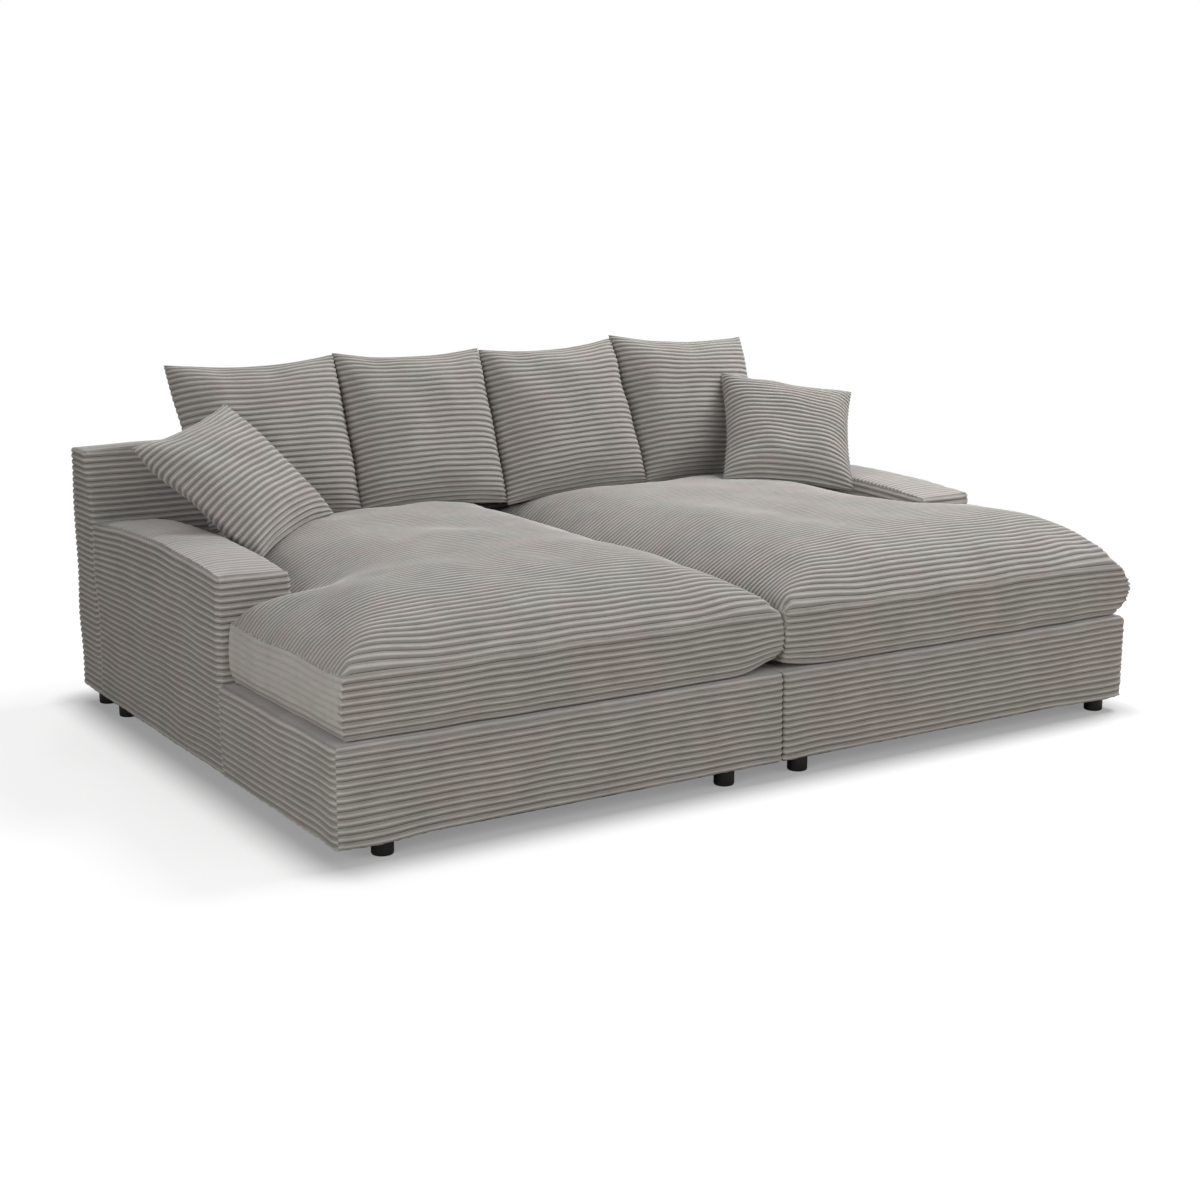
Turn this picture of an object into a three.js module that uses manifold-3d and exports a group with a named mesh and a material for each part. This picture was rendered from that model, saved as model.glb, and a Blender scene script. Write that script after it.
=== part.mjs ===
// A deep sofa in two mirrored modules: timber frames under padded upholstery, with loose cushions.
// Millimetres, +Z up. X runs across the sofa, -Y is the front, and the origin is on the floor below the middle.
import * as THREE from "three";
import { mergeVertices } from "three/addons/utils/BufferGeometryUtils.js";
import Module from "manifold-3d";

const wasm = await Module();
wasm.setup();

// Overall form
const overallWidth = 2400;
const overallDepth = 1690;
const backTop = 729;
const armTop = 536;
const deckTop = 268;
const skirtBottom = 45;
const moduleGap = 3;
const armWidth = 190;
const armSetback = 636;
const backDepth = 157;
const backTopDepth = 114;

// Clearances
const fit = 0.3;
const settleGap = 0.5;
const settleRounds = 3;
const cutOverrun = 6;

// Upholstery
const panelThickness = 20;
const liningThickness = 3;
const dustCoverThickness = 2;
const dustCoverInset = 6;
const deckThickness = 40;
const wall = 22;
const edgeRadius = 12;
const armInnerRadius = 55;
const armOuterRadius = 20;
const armCrown = 20;
const backTopRadius = 26;

// Timber and webbing
const footRailThickness = 60;
const railThickness = 28;
const boardThickness = 18;
const webThickness = 12;
const sillThickness = 45;
const postWidth = 45;
const postDepth = 65;
const topRailHeight = 45;
const strapWidth = 60;
const strapThickness = 2;
const strapsAlong = 4;
const strapsAcrossFront = 2;
const strapsAcrossRear = 4;
const backStrapsUp = 4;
const backStrapsAcross = 3;
const backStrapsBottom = 330;

// Feet, with a threaded stud moulded in
const footRadius = 23;
const footBaseRadius = 20;
const footChamfer = 4;
const studRadius = 4;
const studLength = 28;
const footFrontSetback = 44;
const armFootInset = 44;
const armFootFromRear = 246;
const backFootFromRear = 78;
const frontFootInsets = {
  left: { outer: 127, inner: 145 },
  right: { outer: 64, inner: 80 },
};

// Bolt between the base and the back
const boltRadius = 4;
const boltHeadRadius = 8;
const boltHeadHeight = 5;
const boltHeight = 150;
const boltReach = 30;

// Push-together connector under the joining sides
const connectorFromFront = 900;
const connectorWidth = 64;
const connectorHeight = 9;
const connectorLength = 70;
const connectorInset = 2;
const tongueWidth = 40;
const tongueThickness = 3;
const tongueEngagement = 45;
const slotClearance = 0.5;

// Seat cushion, an L in plan that passes in front of the arm
const seatSideInset = 28;
const seatFrontInset = 15;
const seatBulge = 6;
const seatClearance = 2;
const seatBoxing = 145;
const seatCrown = 132;
const seatCrownReach = 330;
const seatDrawIn = 8;

// Back cushions
const backCushionWidths = {
  left: { outer: 501, inner: 478 },
  right: { outer: 491, inner: 478 },
};
const backCushionGap = 3;
const backCushionHeight = 486;
const backCushionThickness = 180;
const backCushionDrawIn = 15;
const backCushionLean = 21;
// The four stand a little to the right of the joint below them
const backCushionShift = 32;

// Throw pillows
const pillowSize = 430;
const pillowThickness = 150;
const pillowDrawIn = 20;
const pillowPoses = {
  left: { inset: 302, lean: 46.9, yaw: 28.2, roll: 12.4 },
  right: { inset: 285, lean: 50.4, yaw: -23.7, roll: -10.2 },
};

// How finely round and soft forms are cut
const roundSides = 12;
const boltSides = 8;
const cornerSteps = 5;
const bevelSteps = 2;
const armSteps = 6;
const pillowCells = 12;
const seatCells = { strip: 3, across: 11, front: 7, rear: 9 };
const boxingLevels = 4;

// Shapes of the soft forms
const softMinPower = 4;
const plumpPowerShare = 0.55;
const plumpEdge = 3;

const toRadians = THREE.MathUtils.DEG2RAD;
const moduleWidth = (overallWidth - moduleGap) / 2;
const backFront = overallDepth - backDepth;
const deckBottom = deckTop - deckThickness;
const panelTop = deckBottom - fit;
const webbingBottom = panelTop - strapThickness;
const railTop = webbingBottom - fit;
const dustCoverTop = skirtBottom - fit;
const dustCoverBottom = dustCoverTop - dustCoverThickness;
const footTop = dustCoverBottom - fit;
const studTop = footTop + studLength;
const postFront = overallDepth - wall - fit - postDepth;
const postRear = overallDepth - wall - fit;
const backCavityFront = postFront - fit - strapThickness - fit;
const backCavityTop = backTop - wall;
const topRailBottom = backCavityTop - fit - topRailHeight;
const armCavityTop = armTop - wall;

const upholstery = () => new THREE.MeshStandardMaterial({ color: 0x98948f, roughness: 0.95, metalness: 0 });
const timber = () => new THREE.MeshStandardMaterial({ color: 0xc8a878, roughness: 0.7, metalness: 0 });
const webbing = () => new THREE.MeshStandardMaterial({ color: 0x4a4642, roughness: 0.9, metalness: 0 });
const blackFabric = () => new THREE.MeshStandardMaterial({ color: 0x1c1c1c, roughness: 0.95, metalness: 0 });
const blackPlastic = () => new THREE.MeshStandardMaterial({ color: 0x131313, roughness: 0.45, metalness: 0 });
const steel = () => new THREE.MeshStandardMaterial({ color: 0xa8a9ab, roughness: 0.35, metalness: 1 });

// Turns a closed geometry into a solid that can be joined and cut
function solidFrom(geometry) {
  const bare = geometry.clone();
  bare.deleteAttribute("normal");
  bare.deleteAttribute("uv");
  const merged = mergeVertices(bare);
  return new wasm.Manifold(new wasm.Mesh({
    numProp: 3,
    vertProperties: new Float32Array(merged.attributes.position.array),
    triVerts: new Uint32Array(merged.index.array),
  }));
}

function geometryFrom(solid) {
  const mesh = solid.getMesh();
  const geometry = new THREE.BufferGeometry();
  geometry.setAttribute("position", new THREE.BufferAttribute(mesh.vertProperties, 3));
  geometry.setIndex(new THREE.BufferAttribute(mesh.triVerts, 1));
  return geometry;
}

// A block between two corners, each [across, back, up]
function block(low, high) {
  const size = high.map((value, axis) => value - low[axis]);
  const middle = high.map((value, axis) => (value + low[axis]) / 2);
  return new THREE.BoxGeometry(...size).translate(...middle);
}

function joined(...geometries) {
  return geometryFrom(geometries.map(solidFrom).reduce((whole, next) => whole.add(next)));
}

function cut(geometry, ...tools) {
  return geometryFrom(tools.map(solidFrom).reduce((whole, tool) => whole.subtract(tool), solidFrom(geometry)));
}

// A round hole that points up, from one height to another
function uprightHole([across, back], radius, from, to) {
  const drill = new THREE.CylinderGeometry(radius, radius, to - from, boltSides);
  return drill.rotateX(Math.PI / 2).translate(across, back, (from + to) / 2);
}

// A shape drawn on the across and up axes, run from the front to the back
function runBackward(shape, from, to, options) {
  const bevel = options.bevelEnabled ? options.bevelThickness : 0;
  const run = new THREE.ExtrudeGeometry(shape, { ...options, depth: to - from - 2 * bevel });
  return run.rotateX(Math.PI / 2).translate(0, to - bevel, 0);
}

// A shape drawn on the back and up axes, run across the module
function runAcross(shape, from, to, options) {
  const bevel = options.bevelEnabled ? options.bevelThickness : 0;
  const run = new THREE.ExtrudeGeometry(shape, { ...options, depth: to - from - 2 * bevel });
  const turn = new THREE.Matrix4().makeBasis(
    new THREE.Vector3(0, 1, 0),
    new THREE.Vector3(0, 0, 1),
    new THREE.Vector3(1, 0, 0),
  );
  return run.applyMatrix4(turn).translate(from + bevel, 0, 0);
}

const softEdge = {
  bevelEnabled: true,
  bevelThickness: edgeRadius,
  bevelSize: edgeRadius,
  bevelOffset: -edgeRadius,
  bevelSegments: bevelSteps,
  curveSegments: cornerSteps,
};

// The right module is the mirror of the left, with its faces turned to point out again
function mirrored(geometry) {
  const flipped = mergeVertices(geometry.clone()).scale(-1, 1, 1);
  const index = flipped.index;
  for (let corner = 0; corner < index.count; corner += 3) {
    const held = index.getX(corner);
    index.setX(corner, index.getX(corner + 1));
    index.setX(corner + 1, held);
  }
  return flipped;
}

// Straps of webbing laid crosswise; each run is [low corner, high corner] of one strap
function strapGrid(runs) {
  return joined(...runs.map(([low, high]) => block(low, high)));
}

function evenly(count, from, to) {
  return Array.from({ length: count }, (_, place) => from + ((to - from) * (place + 1 / 2)) / count);
}

function seatWebbing() {
  const rearLimit = backFront - fit;
  const seatSide = armWidth + fit;
  const along = evenly(strapsAlong, seatSide + railThickness, moduleWidth - liningThickness - railThickness)
    .map((middle) => [
      [middle - strapWidth / 2, panelThickness + fit, webbingBottom],
      [middle + strapWidth / 2, rearLimit, panelTop],
    ]);
  const inner = moduleWidth - liningThickness - fit;
  const acrossFront = evenly(strapsAcrossFront, panelThickness + footRailThickness, armSetback - railThickness)
    .map((middle) => [
      [panelThickness + fit, middle - strapWidth / 2, webbingBottom],
      [inner, middle + strapWidth / 2, panelTop],
    ]);
  const acrossRear = evenly(strapsAcrossRear, armSetback, rearLimit - railThickness)
    .map((middle) => [
      [seatSide, middle - strapWidth / 2, webbingBottom],
      [inner, middle + strapWidth / 2, panelTop],
    ]);
  return strapGrid([...along, ...acrossFront, ...acrossRear]);
}

function backWebbing() {
  const front = postFront - fit - strapThickness;
  const rear = postFront - fit;
  const outer = wall + fit;
  const inner = moduleWidth - wall - fit;
  const top = backCavityTop - fit;
  const up = evenly(backStrapsUp, outer + postWidth, inner - postWidth).map((middle) => [
    [middle - strapWidth / 2, front, backStrapsBottom],
    [middle + strapWidth / 2, rear, top],
  ]);
  const across = evenly(backStrapsAcross, backStrapsBottom, topRailBottom).map((middle) => [
    [outer, front, middle - strapWidth / 2],
    [inner, rear, middle + strapWidth / 2],
  ]);
  return strapGrid([...up, ...across]);
}

// Padded pad over the webbing, with a soft upper edge, cut round the arm
function deckPad() {
  const plan = new THREE.Shape();
  plan.moveTo(0, 0);
  plan.lineTo(moduleWidth, 0);
  plan.lineTo(moduleWidth, backFront - fit);
  plan.lineTo(armWidth + fit, backFront - fit);
  plan.lineTo(armWidth + fit, armSetback - fit);
  plan.lineTo(0, armSetback - fit);
  const slab = new THREE.ExtrudeGeometry(plan, { ...softEdge, depth: deckThickness });
  const lower = block(
    [-cutOverrun, -cutOverrun, -2 * deckThickness],
    [moduleWidth + cutOverrun, overallDepth, 0],
  );
  return cut(slab.translate(0, 0, -edgeRadius), lower).translate(0, 0, deckBottom);
}

// The arm: an upholstered cap with a crowned top, hollow and open below for its frame
function armCover() {
  const shape = new THREE.Shape();
  shape.moveTo(0, skirtBottom);
  shape.lineTo(armWidth, skirtBottom);
  shape.lineTo(armWidth, armTop - armInnerRadius);
  shape.absarc(armWidth - armInnerRadius, armTop - armInnerRadius, armInnerRadius, 0, Math.PI / 2, false);
  shape.lineTo(armOuterRadius, armTop);
  shape.absarc(armOuterRadius, armTop - armOuterRadius, armOuterRadius, Math.PI / 2, Math.PI, false);
  const outer = runBackward(shape, armSetback, backFront - fit, {
    ...softEdge,
    bevelOffset: 0,
    bevelSize: 0,
    steps: armSteps,
  });
  const places = outer.attributes.position;
  const length = backFront - fit - armSetback;
  for (let point = 0; point < places.count; point += 1) {
    const along = THREE.MathUtils.clamp((places.getY(point) - armSetback) / length, 0, 1);
    const raised = THREE.MathUtils.smoothstep(places.getZ(point), armTop - armInnerRadius, armTop);
    places.setZ(point, places.getZ(point) + armCrown * raised * Math.sin(Math.PI * along));
  }
  const cavity = block(
    [wall, armSetback + wall, skirtBottom - cutOverrun],
    [armWidth - wall, backFront - fit - wall, armCavityTop],
  );
  return cut(outer, cavity);
}

// The arm's frame: a plywood web between end boards, a top board and a timber sill
function armFrame(footHole) {
  const outer = wall + fit;
  const inner = armWidth - wall - fit;
  const front = armSetback + wall + fit;
  const rear = backFront - 2 * fit - wall;
  const top = armCavityTop - fit;
  const middle = armWidth / 2;
  const frame = joined(
    block([outer, front, skirtBottom], [inner, rear, skirtBottom + sillThickness]),
    block([outer, front, top - boardThickness], [inner, rear, top]),
    block([outer, front, skirtBottom], [inner, front + boardThickness, top]),
    block([outer, rear - boardThickness, skirtBottom], [inner, rear, top]),
    block([middle - webThickness / 2, front, skirtBottom], [middle + webThickness / 2, rear, top]),
  );
  return cut(frame, footHole);
}

// The back: upright to the arm's height, then sloped to its rounded top, hollow and open below
function backCover(boltHole) {
  const shape = new THREE.Shape();
  shape.moveTo(backFront, skirtBottom);
  shape.lineTo(overallDepth, skirtBottom);
  shape.lineTo(overallDepth, backTop - backTopRadius);
  shape.absarc(
    overallDepth - backTopRadius, backTop - backTopRadius, backTopRadius, 0, Math.PI / 2, false,
  );
  const slope = new THREE.Vector2(backDepth - backTopDepth, backTop - armTop).normalize();
  const frontTop = overallDepth - backTopDepth;
  shape.quadraticCurveTo(
    frontTop, backTop, frontTop - slope.x * backTopRadius, backTop - slope.y * backTopRadius,
  );
  shape.lineTo(backFront, armTop);
  const outer = runAcross(shape, 0, moduleWidth, { ...softEdge, bevelOffset: 0, bevelSize: 0 });
  const cavity = block(
    [wall, backCavityFront, skirtBottom - cutOverrun],
    [moduleWidth - wall, overallDepth - wall, backCavityTop],
  );
  return cut(outer, cavity, boltHole);
}

// A knife-edged cushion, wide along X, thick along Y, tall along Z, drawn in between its corners
function plumpCushion(width, height, thickness, drawIn) {
  const sheets = [-1, 1].map((face) => {
    const sheet = new THREE.PlaneGeometry(2, 2, pillowCells, pillowCells);
    const places = sheet.attributes.position;
    for (let point = 0; point < places.count; point += 1) {
      const s = Math.sin((Math.PI / 2) * places.getX(point));
      const t = Math.sin((Math.PI / 2) * places.getY(point));
      const side = Math.max(1 - Math.abs(s) ** plumpEdge, 0) * Math.max(1 - Math.abs(t) ** plumpEdge, 0);
      places.setXYZ(
        point,
        s * (width / 2 - drawIn * (1 - t * t)),
        (face * thickness * side ** plumpPowerShare) / 2,
        t * (height / 2 - drawIn * (1 - s * s)),
      );
    }
    const corners = Array.from(sheet.index.array);
    return { places: places.array, corners: face > 0 ? corners.reverse() : corners };
  });
  return closedFrom(sheets);
}

// Joins open sheets that share their edges into one closed skin
function closedFrom(sheets) {
  const points = [];
  for (const { places, corners } of sheets) {
    for (const corner of corners) {
      points.push(...places.slice(3 * corner, 3 * corner + 3));
    }
  }
  const skin = new THREE.BufferGeometry();
  skin.setAttribute("position", new THREE.Float32BufferAttribute(points, 3));
  return mergeVertices(skin);
}

// Divides a length into cells and returns the lines between them, without the last one
function linesBetween(from, to, cells) {
  return Array.from({ length: cells }, (_, place) => from + ((to - from) * place) / cells);
}

// The seat cushion: an L in plan, flat below, boxed at its sides and crowned on top
function seatCushion() {
  const outer = seatSideInset;
  const inner = moduleWidth - seatBulge - seatClearance;
  const front = seatFrontInset;
  const rear = backFront - seatBulge - seatClearance;
  const notchAcross = armWidth + seatBulge + seatClearance;
  const notchBack = armSetback - seatBulge - seatClearance;
  const across = [
    ...linesBetween(outer, notchAcross, seatCells.strip),
    ...linesBetween(notchAcross, inner, seatCells.across),
    inner,
  ];
  const back = [
    ...linesBetween(front, notchBack, seatCells.front),
    ...linesBetween(notchBack, rear, seatCells.rear),
    rear,
  ];
  const kept = (column, row) =>
    column >= 0 && row >= 0 && column < across.length - 1 && row < back.length - 1
    && !(column < seatCells.strip && row >= seatCells.front);

  const crownAt = (u, v) => {
    const beyondArm = Math.hypot(Math.max(u - notchAcross, 0), Math.max(notchBack - v, 0));
    const edges = [u - outer, inner - u, v - front, rear - v, beyondArm];
    if (Math.min(...edges) <= 0) {
      return 0;
    }
    const inverse = edges.reduce((sum, edge) => sum + (edge / seatCrownReach) ** -softMinPower, 0);
    const nearness = Math.min(inverse ** (-1 / softMinPower), 1);
    return seatCrown * (1 - (1 - nearness) ** 2);
  };
  const drawnIn = (u, v) => {
    const shareAcross = (u - outer) / (inner - outer);
    const shareBack = (v - front) / (rear - front);
    return [
      u + seatDrawIn * Math.sin(Math.PI * shareBack) * (1 - 2 * shareAcross),
      v + seatDrawIn * Math.sin(Math.PI * shareAcross) * (1 - 2 * shareBack),
    ];
  };
  const topAt = (column, row) => {
    const [u, v] = [across[column], back[row]];
    return [...drawnIn(u, v), seatBoxing + crownAt(u, v)];
  };
  const bottomAt = (column, row) => [...drawnIn(across[column], back[row]), 0];
  const outwardAt = (column, row) => {
    const touching = [[-1, -1], [0, -1], [-1, 0], [0, 0]]
      .filter(([du, dv]) => kept(column + du, row + dv));
    const lean = touching.reduce(([u, v], [du, dv]) => [u - du - 1 / 2, v - dv - 1 / 2], [0, 0]);
    return [Math.sign(lean[0]), Math.sign(lean[1])];
  };
  const sideAt = (column, row, level) => {
    if (level === 0) {
      return bottomAt(column, row);
    }
    if (level === boxingLevels) {
      return topAt(column, row);
    }
    const share = level / boxingLevels;
    const [u, v] = bottomAt(column, row);
    const [outU, outV] = outwardAt(column, row);
    const swell = seatBulge * Math.sin(Math.PI * share);
    return [u + outU * swell, v + outV * swell, seatBoxing * share];
  };

  const points = [];
  const quad = (a, b, c, d) => points.push(...a, ...b, ...c, ...a, ...c, ...d);
  const sideStrip = (from, to) => {
    for (let level = 0; level < boxingLevels; level += 1) {
      quad(sideAt(...from, level), sideAt(...to, level), sideAt(...to, level + 1), sideAt(...from, level + 1));
    }
  };
  for (let column = 0; column < across.length - 1; column += 1) {
    for (let row = 0; row < back.length - 1; row += 1) {
      if (!kept(column, row)) {
        continue;
      }
      const ring = [[column, row], [column + 1, row], [column + 1, row + 1], [column, row + 1]];
      quad(...ring.map((corner) => topAt(...corner)));
      quad(...ring.map((corner) => bottomAt(...corner)).reverse());
      const neighbours = [[column, row - 1], [column + 1, row], [column, row + 1], [column - 1, row]];
      neighbours.forEach((neighbour, edge) => {
        if (!kept(...neighbour)) {
          sideStrip(ring[edge], ring[(edge + 1) % ring.length]);
        }
      });
    }
  }
  const skin = new THREE.BufferGeometry();
  skin.setAttribute("position", new THREE.Float32BufferAttribute(points, 3));
  return mergeVertices(skin);
}

// Moves a soft piece along a direction until its points lie settleGap from the pieces that hold it.
// It starts well clear of them, pulled back by its own size.
function approach(piece, supports, direction) {
  piece.geometry.computeBoundingSphere();
  const pulledBack = 2 * piece.geometry.boundingSphere.radius;
  piece.position.addScaledVector(direction, -pulledBack);
  piece.updateWorldMatrix(true, false);
  const travel = Math.min(...supports.map((support) => {
    support.updateWorldMatrix(true, false);
    return Math.min(
      leastReach(piece, support, direction),
      leastReach(support, piece, direction.clone().negate()),
    );
  }));
  piece.position.addScaledVector(direction, Number.isFinite(travel) ? travel - settleGap : pulledBack);
  piece.updateWorldMatrix(true, false);
}

// The least distance from one mesh's points to another mesh along a direction
function leastReach(source, target, direction) {
  const caster = new THREE.Raycaster();
  const start = new THREE.Vector3();
  const places = source.geometry.attributes.position;
  let least = Infinity;
  for (let point = 0; point < places.count; point += 1) {
    start.fromBufferAttribute(places, point).applyMatrix4(source.matrixWorld);
    caster.set(start, direction);
    const [hit] = caster.intersectObject(target, false);
    least = Math.min(least, hit ? hit.distance : Infinity);
  }
  return least;
}

// Backs a piece off until its faces and edges are clear of the pieces that hold it as well
function backOff(piece, supports, direction) {
  const held = supports.map((support) => solidInPlace(support));
  while (held.some((solid) => !solid.intersect(solidInPlace(piece)).isEmpty())) {
    piece.position.addScaledVector(direction, -settleGap);
    piece.updateWorldMatrix(true, false);
  }
}

function solidInPlace(mesh) {
  return solidFrom(mesh.geometry.clone().applyMatrix4(mesh.matrixWorld));
}

// Leans a soft piece on what is behind it and sets it down on what is below it, in turns
function restAgainst(piece, behind, below) {
  const backward = new THREE.Vector3(0, 1, 0);
  const down = new THREE.Vector3(0, 0, -1);
  for (let round = 0; round < settleRounds; round += 1) {
    approach(piece, below, down);
    approach(piece, behind, backward);
  }
  backOff(piece, behind, backward);
  backOff(piece, below, down);
  piece.position.addScaledVector(down, -settleGap);
}

// A foot with its stud, turned about its axis
function foot() {
  const profile = [
    [0, 0],
    [footBaseRadius, 0],
    [footRadius, footChamfer],
    [footRadius, footTop],
    [studRadius, footTop],
    [studRadius, studTop],
    [0, studTop],
  ].map((point) => new THREE.Vector2(...point));
  return new THREE.LatheGeometry(profile, roundSides).rotateX(Math.PI / 2);
}

// The bolt that draws the back against the base, head in the base, pointing backward
function backBolt(across) {
  const headFront = backFront - fit - railThickness - fit - boltHeadHeight;
  const end = postFront + boltReach;
  const profile = [
    [0, headFront],
    [boltHeadRadius, headFront],
    [boltHeadRadius, headFront + boltHeadHeight],
    [boltRadius, headFront + boltHeadHeight],
    [boltRadius, end],
    [0, end],
  ].map((point) => new THREE.Vector2(...point));
  return new THREE.LatheGeometry(profile, boltSides).translate(across, 0, boltHeight);
}

function boltHole(across) {
  const from = armSetback;
  const to = postFront + boltReach + fit;
  const drill = new THREE.CylinderGeometry(boltRadius + fit, boltRadius + fit, to - from, boltSides);
  return drill.translate(across, (from + to) / 2, boltHeight);
}

// The slotted half of the connector
function connectorReceiver() {
  const top = footTop;
  const bottom = top - connectorHeight;
  const middle = (top + bottom) / 2;
  const end = moduleWidth - connectorInset;
  const half = tongueWidth / 2 + slotClearance;
  const halfSlot = tongueThickness / 2 + slotClearance;
  const body = block(
    [end - connectorLength, connectorFromFront - connectorWidth / 2, bottom],
    [end, connectorFromFront + connectorWidth / 2, top],
  );
  const slot = block(
    [moduleWidth - tongueEngagement - slotClearance, connectorFromFront - half, middle - halfSlot],
    [end + cutOverrun, connectorFromFront + half, middle + halfSlot],
  );
  return cut(body, slot);
}

// The tongue half of the connector, which reaches across the gap between the modules
function connectorTongue() {
  const top = footTop;
  const bottom = top - connectorHeight;
  const middle = (top + bottom) / 2;
  const end = moduleWidth - connectorInset;
  const body = block(
    [end - connectorLength, connectorFromFront - connectorWidth / 2, bottom],
    [end, connectorFromFront + connectorWidth / 2, top],
  );
  const tongue = block(
    [end - connectorLength / 2, connectorFromFront - tongueWidth / 2, middle - tongueThickness / 2],
    [
      moduleWidth + moduleGap + tongueEngagement,
      connectorFromFront + tongueWidth / 2,
      middle + tongueThickness / 2,
    ],
  );
  return joined(body, tongue);
}

function buildModule(name) {
  const side = name === "left" ? 1 : -1;
  const group = new THREE.Group();
  group.position.set((-side * overallWidth) / 2, -overallDepth / 2, 0);

  const add = (piece, geometry, finish, place = [0, 0, 0]) => {
    const mesh = new THREE.Mesh(side > 0 ? geometry : mirrored(geometry), finish());
    mesh.name = `${name}_${piece}`;
    mesh.position.set(side * place[0], place[1], place[2]);
    group.add(mesh);
    return mesh;
  };

  const innerLimit = moduleWidth - liningThickness - fit;
  const rearLimit = backFront - fit;
  const postInnerLimit = moduleWidth - wall - fit;
  const frontFeet = frontFootInsets[name];
  const footPlaces = {
    foot_front_outer: [frontFeet.outer, footFrontSetback],
    foot_front_inner: [moduleWidth - frontFeet.inner, footFrontSetback],
    foot_arm: [armFootInset, overallDepth - armFootFromRear],
    foot_back_outer: [armFootInset, overallDepth - backFootFromRear],
    foot_back_inner: [postInnerLimit - postWidth / 2, overallDepth - backFootFromRear],
  };
  const studHole = (place) =>
    uprightHole(place, studRadius + fit, dustCoverBottom - cutOverrun, studTop + fit);
  const boltAcross = postInnerLimit - postWidth / 2;

  // Base: timber rails, webbing, padded panels and a pad on top
  add("front_rail", cut(
    block(
      [panelThickness + fit, panelThickness + fit, skirtBottom],
      [innerLimit, panelThickness + fit + footRailThickness, railTop],
    ),
    studHole(footPlaces.foot_front_outer),
    studHole(footPlaces.foot_front_inner),
  ), timber);
  const behindFrontRail = panelThickness + fit + footRailThickness + fit;
  const crossFront = armSetback - fit - railThickness;
  add("outer_rail", block(
    [panelThickness + fit, behindFrontRail, skirtBottom],
    [panelThickness + fit + railThickness, crossFront - fit, railTop],
  ), timber);
  add("cross_rail", block(
    [panelThickness + fit, crossFront, skirtBottom],
    [innerLimit - railThickness - fit, armSetback - fit, railTop],
  ), timber);
  add("side_rail", block(
    [armWidth + fit, armSetback, skirtBottom],
    [armWidth + fit + railThickness, rearLimit, railTop],
  ), timber);
  add("inner_rail", block(
    [innerLimit - railThickness, behindFrontRail, skirtBottom],
    [innerLimit, rearLimit - railThickness - fit, railTop],
  ), timber);
  add("rear_rail", cut(
    block(
      [armWidth + fit + railThickness + fit, rearLimit - railThickness, skirtBottom],
      [innerLimit, rearLimit, railTop],
    ),
    boltHole(boltAcross),
  ), timber);
  add("seat_webbing", seatWebbing(), webbing);
  add("front_panel", block([0, 0, skirtBottom], [moduleWidth, panelThickness, panelTop]), upholstery);
  add("side_panel", block(
    [0, panelThickness + fit, skirtBottom],
    [panelThickness, armSetback - fit, panelTop],
  ), upholstery);
  add("joining_panel", block(
    [moduleWidth - liningThickness, panelThickness + fit, skirtBottom],
    [moduleWidth, rearLimit, panelTop],
  ), blackFabric);
  const deck = add("deck_pad", deckPad(), upholstery);
  add("dust_cover", cut(
    block(
      [dustCoverInset, dustCoverInset, dustCoverBottom],
      [moduleWidth - dustCoverInset, overallDepth - dustCoverInset, dustCoverTop],
    ),
    ...Object.values(footPlaces).map(studHole),
  ), blackFabric);

  // Arm
  add("arm_frame", armFrame(studHole(footPlaces.foot_arm)), timber);
  const arm = add("arm_cover", armCover(), upholstery);

  // Back
  const postTop = topRailBottom - fit;
  add("back_outer_post", cut(
    block([wall + fit, postFront, skirtBottom], [wall + fit + postWidth, postRear, postTop]),
    studHole(footPlaces.foot_back_outer),
  ), timber);
  add("back_inner_post", cut(
    block([postInnerLimit - postWidth, postFront, skirtBottom], [postInnerLimit, postRear, postTop]),
    studHole(footPlaces.foot_back_inner),
    boltHole(boltAcross),
  ), timber);
  add("back_top_rail", block(
    [wall + fit, postFront, topRailBottom],
    [postInnerLimit, postRear, backCavityTop - fit],
  ), timber);
  add("back_webbing", backWebbing(), webbing);
  const back = add("back_cover", backCover(boltHole(boltAcross)), upholstery);
  add("back_bolt", backBolt(boltAcross), steel);

  // Feet and connector
  for (const [piece, [across, behind]] of Object.entries(footPlaces)) {
    add(piece, foot(), blackPlastic, [across, behind, 0]);
  }
  add("connector", side > 0 ? connectorReceiver() : connectorTongue(), steel);

  // Loose cushions, each let down onto what holds it up
  const seat = add("seat_cushion", seatCushion(), upholstery, [0, 0, deckTop + fit]);
  const seatSupports = [seat, deck];
  const innerEdge = moduleWidth - backCushionGap / 2 + side * backCushionShift;
  const widths = backCushionWidths[name];
  const backCushionPlaces = {
    back_cushion_inner: [widths.inner, innerEdge - widths.inner / 2],
    back_cushion_outer: [
      widths.outer,
      innerEdge - widths.inner - backCushionGap - widths.outer / 2,
    ],
  };
  const startHeight = deckTop + seatBoxing + seatCrown + backCushionHeight / 2;
  const backCushions = Object.entries(backCushionPlaces).map(([piece, [width, across]]) => {
    const cushion = add(
      piece,
      plumpCushion(width, backCushionHeight, backCushionThickness, backCushionDrawIn),
      upholstery,
      [across, backFront - backCushionThickness, startHeight],
    );
    cushion.rotation.x = -backCushionLean * toRadians;
    restAgainst(cushion, [back], seatSupports);
    return cushion;
  });

  const pose = pillowPoses[name];
  const pillow = add(
    "throw_pillow",
    plumpCushion(pillowSize, pillowSize, pillowThickness, pillowDrawIn),
    upholstery,
    [pose.inset, backFront - pillowSize, startHeight],
  );
  pillow.rotation.set(-pose.lean * toRadians, -pose.roll * toRadians, pose.yaw * toRadians, "ZXY");
  restAgainst(pillow, backCushions, [...seatSupports, arm]);
  return group;
}

const sofa = new THREE.Group();
sofa.add(buildModule("left"));
sofa.add(buildModule("right"));
sofa.updateMatrixWorld(true);

export default sofa;
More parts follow.
